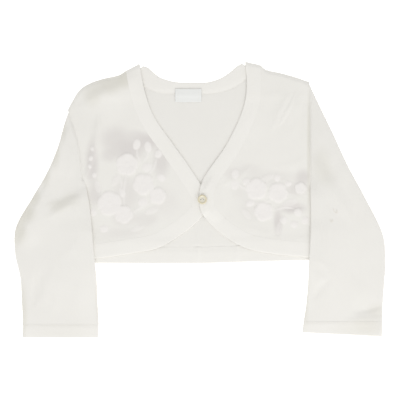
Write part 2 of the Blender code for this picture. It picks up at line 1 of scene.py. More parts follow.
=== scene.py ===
"""The looks of a child's off-white bolero in fine knit, buttoned and laid flat on its back.

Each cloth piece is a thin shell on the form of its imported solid, in finer cells, with the creases, seams,
sewing and knit that the solid leaves out. Tables are in millimetres on the floor that the garment lies on,
with the neck towards +Y. Left and right are the viewer's, looking down on the fronts.
"""

import json
import logging
from dataclasses import dataclass, field
from enum import Enum
from math import cos, hypot, pi, radians, sin
from typing import NamedTuple

import bmesh
import bpy
import numpy as np
from mathutils import Matrix, Vector

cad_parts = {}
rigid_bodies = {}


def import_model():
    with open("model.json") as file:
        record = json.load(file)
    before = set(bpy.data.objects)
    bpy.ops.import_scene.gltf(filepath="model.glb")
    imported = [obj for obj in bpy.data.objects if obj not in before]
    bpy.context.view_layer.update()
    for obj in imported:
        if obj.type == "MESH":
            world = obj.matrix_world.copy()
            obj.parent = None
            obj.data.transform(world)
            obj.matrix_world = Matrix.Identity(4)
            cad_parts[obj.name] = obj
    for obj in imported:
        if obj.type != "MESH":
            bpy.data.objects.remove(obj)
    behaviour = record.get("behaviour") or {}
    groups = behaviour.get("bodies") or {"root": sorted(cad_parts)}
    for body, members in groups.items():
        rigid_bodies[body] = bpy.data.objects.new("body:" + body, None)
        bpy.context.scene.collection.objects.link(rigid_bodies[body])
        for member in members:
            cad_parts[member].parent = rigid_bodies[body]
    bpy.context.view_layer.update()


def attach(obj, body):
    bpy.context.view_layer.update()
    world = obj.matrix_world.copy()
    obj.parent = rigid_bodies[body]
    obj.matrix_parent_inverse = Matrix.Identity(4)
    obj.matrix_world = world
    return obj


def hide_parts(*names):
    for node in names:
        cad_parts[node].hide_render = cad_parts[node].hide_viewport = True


LOG = logging.getLogger("bolero")
MM = 0.001
SAME_PLACE = 1e-6
MIDDLE_X = 0.815
MIDDLE_Y = -1.001

Array = np.ndarray
Colour = tuple[float, float, float]
Socket = bpy.types.NodeSocket
Shape = bmesh.types.BMesh
Piece = bpy.types.Object
Material = bpy.types.Material


class Side(Enum):
    """The viewer's two sides of the garment."""

    LEFT = "left"
    RIGHT = "right"

    @property
    def outward(self) -> float:
        """The sign of X away from the middle."""
        return -1.0 if self is Side.LEFT else 1.0


class Slot(Enum):
    """The finishes that the record names."""

    KNIT = "plain_knit"
    FLOWERED = "flowered_knit"
    BAND = "band_knit"
    LABEL = "woven_label"
    BUTTON = "button_resin"


class Sewing(Enum):
    """The kinds of stitch that show."""

    RUN = "run"
    ZIGZAG = "zigzag"


@dataclass(frozen=True)
class Spot:
    """A point of an outline."""

    x: float
    y: float


@dataclass(frozen=True)
class Across:
    """A line across a sleeve or a band, from its inner to its outer end, bowed by so much."""

    inner_x: float
    inner_y: float
    outer_x: float
    outer_y: float
    bow: float = 0.0

    @property
    def inner(self) -> Array:
        """The inner end."""
        return np.array([self.inner_x, self.inner_y])

    @property
    def outer(self) -> Array:
        """The outer end."""
        return np.array([self.outer_x, self.outer_y])

    def points(self, share: Array) -> Array:
        """Points at shares of the bowed line, bowed away from -X.

        Args:
            share: The shares, from the inner end.

        Returns:
            One row for each point.
        """
        run = self.outer - self.inner
        sideways = unit(np.array([run[1], -run[0]]))
        if sideways[0] < 0.0:
            sideways = -sideways
        share = np.asarray(share, float)[:, None]
        return self.inner + share * run + sideways * self.bow * 4.0 * share * (1.0 - share)


@dataclass(frozen=True)
class Crease:
    """A soft ridge, or a trough where its height is below zero. It tapers towards both its ends.

    Its bow is how far its middle lies to the left of its straight run, and its lean makes that side steeper.
    """

    x1: float
    y1: float
    x2: float
    y2: float
    half_width: float
    height: float
    bow: float = 0.0
    lean: float = 0.0


@dataclass(frozen=True)
class Level:
    """The height of a sleeve's layer at a place along the body."""

    y: float
    height: float


@dataclass(frozen=True)
class Bloom:
    """An open flower of the fronts: its middle, reach and turn in degrees."""

    x: float
    y: float
    radius: float
    turn: float


@dataclass(frozen=True)
class Bud:
    """A closed bud or a leaf: an oval with its long axis turned by some degrees from +X."""

    x: float
    y: float
    length: float
    width: float
    turn: float


@dataclass(frozen=True)
class Stem:
    """A thin stem between two places, its middle bowed to the left of its run."""

    x1: float
    y1: float
    x2: float
    y2: float
    bow: float


@dataclass(frozen=True)
class Pull:
    """A pulled loop of yarn: its middle, half width, half length, turn and lean in radians."""

    x: float
    y: float
    width: float
    length: float
    turn: float
    lean: float


@dataclass(frozen=True)
class Haze:
    """A tinted oval of the cloth, strongest in its middle."""

    x: float
    y: float
    half_width: float
    half_height: float
    depth: float


@dataclass(frozen=True)
class Cut:
    """The flat size of a cloth piece, in metres, and its flat area in square metres."""

    width: float
    length: float
    area: float


@dataclass(frozen=True)
class Walls:
    """Thicknesses, gaps and tucks of the solids that the shells lie on."""

    cloth: float = 1.2
    band: float = 1.8
    seam: float = 0.3
    lap: float = 0.3
    lap_rise: float = 0.2
    tuck: float = 1.0
    tuck_from: float = -20.0
    tuck_to: float = 4.0
    corner_tuck: float = 2.2
    corner_y: float = 27.0
    corner_reach: float = 5.0
    band_width: float = 18.0
    hem_depth: float = 20.4

    @property
    def on_back(self) -> float:
        """The height of what lies on the back panel."""
        return self.cloth + self.seam

    @property
    def on_band(self) -> float:
        """The height of what lies on a band."""
        return self.band + self.seam

    @property
    def overlap(self) -> float:
        """How much higher the right front lies where the left front is under it."""
        return self.band + self.seam + self.lap_rise


WALLS = Walls()


def table(kind: type, *rows: tuple[float, ...]) -> list:
    """A table with a column for each of the kind's fields."""
    return [kind(*row) for row in rows]


FRONT_EDGE = {
    Side.LEFT: table(
        Spot,
        (-74.6, 167.4), (-70.3, 141.7), (-62.9, 116.7), (-52.4, 95.4), (-34.9, 71.1), (-13.9, 41.7),
        (0.7, 19.2), (7.6, 6.7), (8.6, -7.1), (2, -22.1), (-18.6, -40.3), (-49.9, -59.6),
        (-83.6, -66.8), (-138.6, -74.9),
    ),
    Side.RIGHT: table(
        Spot,
        (56.2, 169.8), (58, 149.2), (56.6, 125.4), (48.4, 99.2), (31.4, 65.7), (10.4, 35.9),
        (2.6, 22.3), (-0.6, 9.2), (-0.7, -4.6), (3.9, -19.6), (23.9, -40.3), (53.9, -59.2),
        (90.1, -67.4), (142.6, -72.3),
    ),
}

SHOULDER = {
    Side.LEFT: table(
        Spot,
        (-101.1, 153.1), (-121.1, 148.8), (-138, 142.8), (-149.4, 134.8), (-158.4, 120.6),
    ),
    Side.RIGHT: table(
        Spot,
        (82.1, 159.9), (99.6, 156.2), (117.1, 151.4),
    ),
}

SIDE_SEAM = {
    Side.LEFT: table(
        Spot,
        (-138.6, -57.1), (-138.6, -32.1), (-138.5, -8.3), (-138.6, 4), (-140.1, 14), (-142.2, 25),
    ),
    Side.RIGHT: table(
        Spot,
        (142.6, -54.6), (142.6, -32.1), (140.4, -12), (136.6, 3), (136, 14), (135.2, 26),
    ),
}

SLEEVE_ROWS = {
    Side.LEFT: table(
        Across,
        (-143, 26.7, -162.6, 110.4, 4), (-142.4, 23.5, -168.6, 92.8, 3),
        (-141.2, 17, -177.4, 62.3, 1.5), (-139.3, 7, -190.5, 32.1, 0.5), (-136.5, -10, -208.6, 1.1),
        (-134.1, -34, -228.4, -34.5), (-131.3, -66, -229.6, -67.1), (-128.2, -97, -223.2, -97.1),
        (-127, -127.1, -221.3, -127.1), (-125.5, -154.6, -219.9, -154.6),
        (-125.6, -172, -220.6, -171.8),
    ),
    Side.RIGHT: table(
        Across,
        (134.8, 26.2, 135.2, 144.8, -1.2), (136.3, 22.5, 147, 119.6, -0.6), (136.7, 16, 164.6, 83.4),
        (136.9, 5, 183.9, 41.7), (137.3, -14, 206.8, -0.8), (137, -40, 227.2, -43.3),
        (135.3, -72, 230.5, -78.3), (134.2, -103, 228.9, -107.1), (131.9, -131.5, 227.2, -132.1),
        (128.7, -151.4, 227, -151.4), (127.3, -165.4, 226.5, -170.2),
    ),
}

LIFT_LEVELS = table(
    Level,
    (24, 0), (6, 3.1), (-26, 3.1), (-38, 4.3), (-84, 4.3), (-104, 0),
)

UPPER_LEVELS = table(
    Level,
    (30, 0), (0, 3.1), (-22, 3.1), (-42, 4.3), (-78, 4.3), (-150, 0),
)

ARMHOLE_SHARES = (0.04, 0.12, 0.3, 0.5, 0.7, 0.85)

NECK_ROWS = table(
    Across,
    (-70.2, 165.6, -86.6, 155.2), (-65, 164, -78, 145.4), (-58.8, 158.8, -69.2, 139.2),
    (-50.5, 152.1, -58, 133.9), (-40.5, 148.3, -45.5, 131.2), (-28.6, 145.7, -30.5, 130.3),
    (-9.9, 145.1, -9.9, 130.1), (10.1, 145.7, 12, 130.7), (25.1, 150.4, 31.4, 133.8),
    (37.2, 157.9, 47.6, 141.1), (45.1, 164.8, 58.9, 149.8), (52, 168.8, 69.6, 158.6),
)

HEM = table(
    Spot,
    (-138.6, -79.3), (-62.4, -79.9), (5.1, -79.8), (68.9, -77.6), (142.6, -75.6),
)

FRONT_CREASES = {
    Side.LEFT: table(
        Crease,
        (-121.5, 103.3, -132, 50, 11, 1.1), (-135, 124, -98, 138, 14, 1), (-104, 96, -84, 66, 20, 0.5),
        (-60, 40, -50, -8, 22, 0.6),
    ),
    Side.RIGHT: table(
        Crease,
        (111, 130, 90, 88, 10, 1), (124, 128, 108, 92, 9, 0.7), (66, 120, 60, 74, 16, 0.6),
        (52, 22, 96, 4, 16, 0.6),
    ),
}

SLEEVE_CREASES = {
    Side.LEFT: table(
        Crease,
        (-190, -4, -143, 16, 12, -1.6, 0, -0.35), (-188, -22, -143, 4, 14, 1.5, 0, 0.4),
        (-196.5, -89.6, -206.5, -129.6, 10, -1), (-183, -85.8, -191, -128, 12, 0.7),
    ),
    Side.RIGHT: table(
        Crease,
        (153, 52, 164, 22, 15, -1.2), (172, 44, 180, 16, 14, 0.6), (142, -79.6, 160.1, -97.1, 10, -0.8),
        (160.1, -97.1, 140, -122, 10, -0.8), (190, -140, 226, -133, 10, -1.1, 0, -0.5),
        (184, -150, 227, -148, 9, 1.3, 0, 0.35),
    ),
}

# Narrower creases, which the solids leave out
FINE_FRONT_CREASES = {
    Side.LEFT: table(
        Crease,
        (-127, 104, -142, 28, 5, 1.1, 5, 0.35), (-147, 112, -141, 42, 5, 0.3, 2),
        (-146, 116, -78, 151, 24, 3.2, 0, 0.3), (-112, 128, -108, 84, 10, 0.45, -3),
        (-96, 122, -86, 82, 8, 0.3, 3), (-63, 66, -36, 16, 7, 0.35, 3),
        (-108, -46, -60, -36, 9, 0.35, -3), (-44, -6, -66, -34, 8, 0.3, 4),
    ),
    Side.RIGHT: table(
        Crease,
        (118, 131, 97, 91, 3.6, 0.8, 1.5, -0.1), (127, 124, 117, 82, 6, 0.45, -2),
        (92, 130, 128, 116, 18, 0.5), (108, 128, 96, 104, 4, 0.3), (10, 26, 2.2, 9, 2.8, -0.4, -1),
        (14.5, 26, 5.8, 7.5, 3.2, 0.7, -1), (66, 44, 26, 17, 6, 0.5, 3), (130, 52, 92, 40, 9, 0.45, 4),
        (9, -13.5, 16.5, -28, 2.6, -0.35), (128, -8.5, 101, -11, 3.2, -0.7, 1.5),
        (101.5, -8, 95, -45, 3, -0.7, 2), (60, -34, 88, -43, 8, 0.35, -2),
    ),
}

FINE_SLEEVE_CREASES = {
    Side.LEFT: table(
        Crease,
        (-186, -12, -150, 7, 5, -0.6, 3), (-184, -23, -154, -5, 5, 0.5, 2.5),
        (-160, 92, -192, 14, 12, 2, 0, -0.4), (-190, 14, -222, -54, 16, 2.8, 0, -0.5),
        (-160, 66, -164, 26, 8, 0.5, 3), (-148, -46, -176, -74, 12, 0.5, 4),
        (-203, -88, -206, -132, 5, -0.5, -2), (-176, -96, -186, -144, 9, 0.45, 3),
        (-150, -108, -144, -150, 10, 0.4, -3), (-206, -24, -214, -66, 9, 0.4, 2),
    ),
    Side.RIGHT: table(
        Crease,
        (141, 80, 151, 44, 11, -0.4, 1), (146, 44, 188, -26, 15, 1.3), (140, -82, 149, -132, 10, -0.7),
        (178, 22, 204, -22, 10, 0.45, 3), (148, -26, 150, -62, 3.4, -0.35, 1),
        (147, -76, 163, -98, 5, 0.35, 3, 0.2), (163, -98, 141, -126, 6, -0.35, -3),
        (196, -139, 225, -133, 4, -0.5, -1.5, -0.5), (186, -92, 196, -130, 12, 0.4, 3),
        (204, -184, 238, -156, 26, 2.3), (208, -56, 214, -104, 12, 0.35, -3),
    ),
}

BACK_CREASES = table(
    Crease,
    (-1.5, -22, -2.5, -78, 5, 0.9, 0, 0.2), (47, -50, 46, -80, 5, 0.8), (-24, 112, -10, 52, 16, 0.35),
    (38, 118, 22, 66, 14, 0.3),
)

BLOOMS = {
    Side.LEFT: table(
        Bloom,
        (-90.5, 43.5, 14, 12), (-70, 19, 13.5, 50), (-112, -5, 15.5, 30), (-52.5, 4.5, 10.5, 4),
        (-94.5, -18.5, 11.5, 64),
    ),
    Side.RIGHT: table(
        Bloom,
        (70, 13, 13.5, 20), (97, 8.5, 12.5, 56), (79, -15, 12, 36), (125, 14, 7.4, 8),
    ),
}

BUDS = {
    Side.LEFT: table(
        Bud,
        (-78.5, 68, 6.8, 4.6, 75), (-64.5, 65, 7, 4.4, 100), (-51.5, 56.5, 5.6, 4.4, 60),
        (-65.5, 40, 6.4, 5.6, 20), (-48, 27, 6, 4.4, 150), (-71, -3, 6, 5.4, 30),
        (-96, 7.5, 3.6, 5.4, 10), (-119, -36.5, 5.4, 4.6, 0), (-133, -16, 4.4, 5, 0),
        (-133.5, 63, 2.2, 3.2, 10), (-135.5, 51, 2.6, 3.4, 160), (-137, 41, 2, 2.8, 20),
        (-131, 30, 2.8, 3.2, 0),
    ),
    Side.RIGHT: table(
        Bud,
        (44, 31.5, 5.8, 4.6, 80), (43, 17.5, 5.8, 5, 95), (57.5, 22, 4.8, 4, 40),
        (96, 26.5, 4.6, 4, 100), (110, 19.5, 4.4, 3.2, 20), (121.5, -16, 5, 4.6, 100),
        (104, -25.5, 5, 4.2, 40), (117, -31, 4.8, 4.2, 160), (131, -26, 5, 4.4, 80),
        (62.5, -5, 5.6, 3.8, 200),
    ),
}

STEMS = {
    Side.LEFT: table(
        Stem,
        (-78, 63, -72, 44, -2), (-65, 60, -71, 46, 1.5), (-54, 52, -66, 30, 3),
        (-101, 30, -101, 9, 3.5), (-91, 30, -93, -10, -2.5), (-60, -4, -84, -18, -2),
    ),
    Side.RIGHT: table(
        Stem,
        (44, 27, 60, 12, -3), (82, 2, 116, 6, 3), (66, -4, 90, 1, -3), (96, 22, 100, 10, 1),
        (92, -14, 118, -12, 2.5),
    ),
}

LEAVES = {
    Side.LEFT: table(
        Bud,
        (-104, 24, 9, 4, 60), (-127, 16, 8, 3.6, 100), (-60, -14, 9, 3.8, 200), (-78, -36, 8, 3.4, 20),
    ),
    Side.RIGHT: table(
        Bud,
        (84, 27, 9, 3.8, 20), (112, -4, 10, 4.2, 15), (58, -18, 8, 3.6, 130), (98, -36, 7.5, 3.4, 80),
    ),
}

HAZES = {
    Side.LEFT: table(
        Haze,
        (-104, 74, 26, 20, 0.7), (-88, 62, 24, 17, 1), (-66, 72, 22, 13, 1), (-48, 48, 13, 26, 0.8),
        (-112, 55, 14, 11, 0.6), (-80, 80, 13, 8, 0.5), (-68, -25, 20, 12, 0.4),
        (-94, -24, 18, 12, 0.5), (-92, 6, 22, 30, 0.5), (-44, -2, 22, 24, 0.25),
        (-134, 46, 10, 34, 0.9), (-130, 6, 10, 18, 0.7), (-96, -42, 40, 9, 0.3),
    ),
    Side.RIGHT: table(
        Haze,
        (42, 32, 14, 10, 0.45), (60, 38, 18, 8, 0.3), (88, 27, 44, 12, 0.3), (120, 13, 17, 11, 0.65),
        (115, -11, 20, 9, 1), (97, -28, 7, 20, 1), (64, -12, 20, 18, 0.3), (128, 26, 12, 14, 0.8),
        (52, 10, 16, 14, 0.25),
    ),
}

# Yellowish shade painted into the cloth's colour where it lies in shade, on the panels, the sleeves and the
# cuffs: the left shoulder, the sleeves' creases, hollows and edges, the strip by the right armhole and the
# cuffs' far ends
PAINTED_SHADES = table(
    Haze,
    (-92, 149, 16, 14, 0.65), (-112, 142, 22, 15, 0.55), (-133, 130, 14, 18, 0.4),
    (-170, 88, 6, 20, 0.4), (-180, 58, 8, 24, 0.5), (-192, 32, 8, 20, 0.5), (-206, 4, 10, 15, 0.6),
    (-217, -16, 16, 17, 0.65), (-226, -40, 14, 22, 0.6), (-160, -1, 15, 12, 0.3),
    (-176, -8, 15, 11, 0.35), (-219, -140, 6, 40, 0.45), (-175, -165, 50, 14, 0.15),
    (-126, -115, 5, 48, 0.4), (135, 60, 2.8, 92, 0.5), (151, 42, 15, 26, 0.3), (160, 26, 12, 15, 0.15),
    (131, -115, 5, 52, 0.4), (220, -138, 15, 12, 0.3), (198, -163, 42, 15, 0.2),
    (206, -156, 24, 12, 0.3),
)

PULLS = {
    Side.LEFT: [],
    Side.RIGHT: table(Pull, (167.6, -13.8, 1.7, 3.4, -4.2, 0.5), (162.6, -25.8, 1.3, 2.1, -3.9, 0.5)),
}

# A number for each piece that makes its slight waves its own
BACK_WAVES = 0.3
NECK_WAVES = 1.9
FRONT_WAVES = {Side.LEFT: 0.9, Side.RIGHT: 2.2}
SLEEVE_WAVES = {Side.LEFT: 1.3, Side.RIGHT: 2.9}

# The share of its thickness that each cuff has at its seam
CUFF_SEAM = {Side.LEFT: 0.68, Side.RIGHT: 0.75}

# The lengths of the slight waves, and how they turn and shift from one to the next
WAVE_LENGTHS = (23.0, 31.0, 43.0, 61.0, 83.0)
WAVE_TURN = 2.4
WAVE_SHIFT = 1.7
START_SHIFT = 3.1

# How a crease tapers at its ends, and how fast it falls off to its sides
CREASE_TAPER = 0.8
CREASE_END_WIDTH = 0.45
CREASE_END_HEIGHT = 0.25
CREASE_FALL = 2.2

# Where a tinted oval starts to fade and where it ends, in its own radii
HAZE_CORE = 0.25
HAZE_END = 1.15

# The distances of the close points from an edge, where a shell rounds off
CLOSE = (0.0, 0.25, 0.6, 1.1, 1.8)

# How far apart two rows are read for the run of a sleeve's edge, and the limits of its outer wall's slant
ROW_STEP = 0.05
LEAST_SLOPE = 0.1
MOST_BACK = 3.5


def from_least(least: float, share: Array) -> Array:
    """A value that goes from least to 1 as the share goes from 0 to 1."""
    return least + (1.0 - least) * share


def smooth_step(start: float | Array, end: float | Array, value: Array) -> Array:
    """0 before start, 1 after end, and a soft curve between them.

    Args:
        start: Where the curve starts. It may be the larger.
        end: Where the curve ends.
        value: The places to read.

    Returns:
        The shares.
    """
    share = np.clip((value - start) / (np.asarray(end) - start), 0.0, 1.0)
    return share * share * (3.0 - 2.0 * share)


def rows_of(records: list) -> Array:
    """The table's rows as an array, with a column for each named one."""
    return np.array([list(vars(row).values()) for row in records], float)


def unit(run: Array) -> Array:
    """The direction of a run in plan."""
    return run / hypot(*run)


def run_lengths(points: Array) -> Array:
    """How far along the line each of its points is."""
    return np.concatenate([[0.0], np.cumsum(np.linalg.norm(np.diff(points, axis=0), axis=1))])


def spline(rows: Array, positions: Array) -> Array:
    """The smooth line through rows, at positions counted in rows.

    Args:
        rows: One row for each point that the line passes.
        positions: Places along it, from 0 to the number of rows less one.

    Returns:
        One row for each position.
    """
    last = len(rows) - 1
    positions = np.atleast_1d(np.asarray(positions, float))
    index = np.clip(positions.astype(int), 0, last - 1)
    share = (positions - index)[:, None]
    padded = np.vstack([2 * rows[0] - rows[1], rows, 2 * rows[-1] - rows[-2]])
    before, here, after, beyond = (padded[index + step] for step in range(4))
    linear = after - before
    square = 2 * before - 5 * here + 4 * after - beyond
    cube = 3 * here - before - 3 * after + beyond
    return here + 0.5 * (linear * share + square * share**2 + cube * share**3)


class SmoothLine:
    """A smooth line through points, read by its share of the whole length."""

    STEPS = 24
    NEAR = 0.004

    def __init__(self, rows: Array) -> None:
        """Measure the line through the rows.

        Args:
            rows: One row for each point that the line passes.
        """
        self.rows = np.asarray(rows, float)
        last = len(self.rows) - 1
        self.positions = np.linspace(0.0, last, last * self.STEPS + 1)
        self.points = spline(self.rows, self.positions)
        self.lengths = run_lengths(self.points[:, :2])
        self.length = float(self.lengths[-1])

    def position(self, shares: Array) -> Array:
        """Where in the table each share of the length lies."""
        return np.interp(np.asarray(shares) * self.length, self.lengths, self.positions)

    def at(self, shares: Array) -> Array:
        """The points at shares of the length."""
        return spline(self.rows, self.position(shares))

    def direction(self, shares: Array) -> Array:
        """The unit directions of the line at shares of the length.

        Args:
            shares: The shares.

        Returns:
            One row for each of them.
        """
        shares = np.asarray(shares)
        ahead = self.at(np.minimum(shares + self.NEAR, 1.0)) - self.at(np.maximum(shares - self.NEAR, 0.0))
        return ahead / np.hypot(*ahead.T)[:, None]

    def share_at_height(self, y: float) -> float:
        """The share of the length at which the line first comes down to y."""
        return float(self.lengths[int(np.argmax(self.points[:, 1] <= y))] / self.length)


def tinted(hazes: list[Haze], x: Array, y: Array) -> Array:
    """How much of a tint the ovals give at places.

    Args:
        hazes: The ovals.
        x: Places across the garment.
        y: Places along it.

    Returns:
        The shares, from 0 to 1.
    """
    plain = np.ones(np.broadcast(x, y).shape)
    for haze in hazes:
        away = np.hypot((x - haze.x) / haze.half_width, (y - haze.y) / haze.half_height)
        plain = plain * (1.0 - haze.depth * (1.0 - smooth_step(HAZE_CORE, HAZE_END, away)))
    return np.clip(1.0 - plain, 0.0, 1.0)


def relief(creases: list[Crease], x: Array, y: Array) -> Array:
    """The sum of soft ridges and troughs.

    Args:
        creases: The ridges and troughs.
        x: Places across the garment.
        y: Places along it.

    Returns:
        The heights.
    """
    height = np.zeros(np.broadcast(x, y).shape)
    for crease in creases:
        run_x = crease.x2 - crease.x1
        run_y = crease.y2 - crease.y1
        length = hypot(run_x, run_y)
        share = ((x - crease.x1) * run_x + (y - crease.y1) * run_y) / length**2
        held = np.clip(share, 0.0, 1.0)
        swell = np.sin(pi * held) ** CREASE_TAPER
        aside = ((y - crease.y1) * run_x - (x - crease.x1) * run_y) / length
        aside = aside - crease.bow * 4.0 * held * (1.0 - held)
        aside = aside * (1.0 + crease.lean * np.sign(aside))
        reach = crease.half_width * from_least(CREASE_END_WIDTH, swell)
        away = np.hypot(aside, (share - held) * length) / reach
        risen = crease.height * from_least(CREASE_END_HEIGHT, swell)
        height = height + risen * np.exp(-CREASE_FALL * away**2)
    return height


def ripple(x: Array, y: Array, start: float, height: float) -> Array:
    """The slight waves of cloth that was smoothed by hand, never below zero.

    Args:
        x: Places across the garment.
        y: Places along it.
        start: A number that makes each piece's waves its own.
        height: The height of the waves.

    Returns:
        The heights.
    """
    total = np.zeros(np.broadcast(x, y).shape)
    for wave, length in enumerate(WAVE_LENGTHS):
        turn = WAVE_TURN * wave + start
        along = x * cos(turn) + y * sin(turn)
        total = total + np.sin(2.0 * pi * along / length + WAVE_SHIFT * wave + START_SHIFT * start)
    return height * (0.5 + total / (2.0 * len(WAVE_LENGTHS)))


def oval(mark: Bud, x: Array, y: Array) -> Array:
    """How far places are from the middle of an oval.

    Args:
        mark: The oval.
        x: Places across the garment.
        y: Places along it.

    Returns:
        The distances, in the oval's own radii.
    """
    turn = radians(mark.turn)
    along = (x - mark.x) * cos(turn) + (y - mark.y) * sin(turn)
    across = (y - mark.y) * cos(turn) - (x - mark.x) * sin(turn)
    return np.hypot(along / mark.length, across / mark.width)


def edge_spaced(cells: int, length: float) -> Array:
    """Shares from 0 to 1, even in the middle and close together at both ends.

    Args:
        cells: The number of even cells in the middle.
        length: The real length, in millimetres.

    Returns:
        The shares.
    """
    ends = np.array(CLOSE) / length
    middle = np.linspace(ends[-1], 1.0 - ends[-1], cells + 1)
    return np.concatenate([ends[:-1], middle, 1.0 - ends[:-1][::-1]])


def rounded(distance: Array, reach: float, least: float) -> Array:
    """The share of full thickness at a distance from an edge: a quarter round, from least up to 1."""
    share = np.clip(distance / reach, 0.0, 1.0)
    return from_least(least, np.sqrt(np.clip(1.0 - (1.0 - share) ** 2, 0.0, 1.0)))


def eased(distance: Array, reach: float, least: float) -> Array:
    """The share of full thickness at a distance from a sewn edge: a soft curve, from least up to 1."""
    return from_least(least, smooth_step(0.0, reach, distance))


def patch(bottom: Array, top: Array, side: Array, front: Array, across: Array, up: Array) -> Array:
    """The grid of points between four edges.

    Args:
        bottom: The points of the lower edge, one for each column.
        top: The points of the upper edge, one for each column.
        side: The points of the edge at the first column, one for each row.
        front: The points of the edge at the last column, one for each row.
        across: The columns' shares.
        up: The rows' shares.

    Returns:
        An array of rows, columns and the two coordinates.
    """
    across = across[None, :, None]
    up = up[:, None, None]
    ruled_up = (1.0 - up) * bottom[None] + up * top[None]
    ruled_across = (1.0 - across) * side[:, None] + across * front[:, None]
    corners = (1.0 - up) * ((1.0 - across) * bottom[0] + across * bottom[-1])
    corners = corners + up * ((1.0 - across) * top[0] + across * top[-1])
    return ruled_up + ruled_across - corners


class Edges(NamedTuple):
    """How far each point of a grid is from its first and last column and its bottom and top row."""

    first: Array
    last: Array
    bottom: Array
    top: Array


def edge_distances(points: Array) -> Edges:
    """The distances of a grid's points from its four edges, measured along the grid.

    Args:
        points: The grid.

    Returns:
        The distances.
    """
    across = np.linalg.norm(np.diff(points, axis=1), axis=2)
    along = np.linalg.norm(np.diff(points, axis=0), axis=2)
    from_first = np.pad(np.cumsum(across, axis=1), ((0, 0), (1, 0)))
    from_bottom = np.pad(np.cumsum(along, axis=0), ((1, 0), (0, 0)))
    return Edges(from_first, from_first[:, -1:] - from_first, from_bottom, from_bottom[-1:] - from_bottom)


def to_world(x: float, y: float, z: float) -> Vector:
    """A place on the floor's tables, in metres about the origin."""
    return Vector((x - MIDDLE_X, y - MIDDLE_Y, z)) * MM


def place_object(name: str, data: bpy.types.ID) -> Piece:
    """A new object of the scene that shows a mesh, a lamp or a camera.

    Args:
        name: Its name.
        data: What it shows.

    Returns:
        The object.
    """
    made = bpy.data.objects.new(name, data)
    bpy.context.scene.collection.objects.link(made)
    return made


def mesh_of(name: str, shape: Shape) -> bpy.types.Mesh:
    """A mesh made from a shape, which is freed.

    Args:
        name: The mesh's name.
        shape: The shape.

    Returns:
        The mesh.
    """
    mesh = bpy.data.meshes.new(name)
    shape.to_mesh(mesh)
    shape.free()
    return mesh


def spin(shape: Shape, points: list, centre: Vector, axis: Vector, angle: float, steps: int) -> None:
    """Sweep a line or a ring round an axis.

    Args:
        shape: The shape that takes the faces.
        points: The vertices of the line or ring.
        centre: A point of the axis.
        axis: Its direction.
        angle: How far the sweep goes, in radians.
        steps: The number of its steps. A full turn closes on itself.
    """
    edges = {edge for vertex in points for edge in vertex.link_edges}
    whole = abs(angle) >= 2.0 * pi
    swept = [*points, *edges]
    bmesh.ops.spin(shape, geom=swept, cent=centre, axis=axis, angle=angle, steps=steps, use_merge=whole)


class Graph:
    """The nodes of one material."""

    def __init__(self, name: str, colour: Colour, roughness: float) -> None:
        """Start a material of one colour.

        Args:
            name: The finish's name.
            colour: Its colour.
            roughness: Its roughness.
        """
        self.material = bpy.data.materials.new(name)
        self.material.use_nodes = True
        self.nodes = self.material.node_tree.nodes
        self.links = self.material.node_tree.links
        self.shader = self.nodes["Principled BSDF"]
        self.tune({"Base Color": (*colour, 1.0), "Roughness": roughness})
        self.material.diffuse_color = (*colour, 1.0)

    def tune(self, values: dict[str, float | tuple]) -> None:
        """Set uniform values on the shader's own sockets."""
        for name, value in values.items():
            self.shader.inputs[name].default_value = value

    def math(self, operation: str, *values: Socket | float) -> Socket:
        """A calculation with sockets and numbers.

        Args:
            operation: The operation's name.
            values: Sockets or numbers.

        Returns:
            The result's socket.
        """
        node = self.nodes.new("ShaderNodeMath")
        node.operation = operation
        for socket, value in zip(node.inputs, values):
            if isinstance(value, (int, float)):
                socket.default_value = value
            else:
                self.links.new(value, socket)
        return node.outputs[0]

    def blend(self, share: Socket, first: Socket | Colour, second: Socket | Colour) -> Socket:
        """A colour between two colours.

        Args:
            share: The socket that says how much of the second.
            first: A colour or its socket.
            second: A colour or its socket.

        Returns:
            The colour's socket.
        """
        node = self.nodes.new("ShaderNodeMix")
        node.data_type = "RGBA"
        for name, value in (("Factor_Float", share), ("A_Color", first), ("B_Color", second)):
            socket = next(one for one in node.inputs if one.identifier == name)
            if isinstance(value, tuple):
                socket.default_value = (*value, 1.0)
            else:
                self.links.new(value, socket)
        return next(one for one in node.outputs if one.identifier == "Result_Color")

    def mark(self, name: str) -> Socket:
        """The piece's own value of that name at each point.

        Args:
            name: The value's name.

        Returns:
            The value's socket.
        """
        node = self.nodes.new("ShaderNodeAttribute")
        node.attribute_name = name
        return node.outputs["Fac"]

    def cloth_axes(self) -> tuple[Socket, Socket]:
        """The two coordinates on the cloth, in metres across and along its wales.

        Returns:
            Their sockets.
        """
        node = self.nodes.new("ShaderNodeUVMap")
        node.uv_map = "Cloth"
        split = self.nodes.new("ShaderNodeSeparateXYZ")
        self.links.new(node.outputs[0], split.inputs[0])
        return split.outputs[0], split.outputs[1]

    def noise(self, scale: float, detail: float) -> Socket:
        """Cloudy noise in the object's own space.

        Args:
            scale: How many clouds fit in a metre.
            detail: How many finer layers it has.

        Returns:
            The noise's socket.
        """
        place = self.nodes.new("ShaderNodeTexCoord")
        node = self.nodes.new("ShaderNodeTexNoise")
        node.inputs["Scale"].default_value = scale
        node.inputs["Detail"].default_value = detail
        self.links.new(place.outputs["Object"], node.inputs["Vector"])
        return node.outputs[0]

    def raise_by(self, height: Socket, strength: float, depth: float) -> None:
        """Roughen the surface by a height, given in shares of a depth in millimetres.

        Args:
            height: The height's socket.
            strength: How much of it shows.
            depth: The depth.
        """
        bump = self.nodes.new("ShaderNodeBump")
        bump.inputs["Strength"].default_value = strength
        bump.inputs["Distance"].default_value = depth * MM
        self.links.new(height, bump.inputs["Height"])
        self.links.new(bump.outputs[0], self.shader.inputs["Normal"])

    def paint(self, colour: Socket) -> None:
        """Use a colour's socket as the surface's colour."""
        self.links.new(colour, self.shader.inputs["Base Color"])


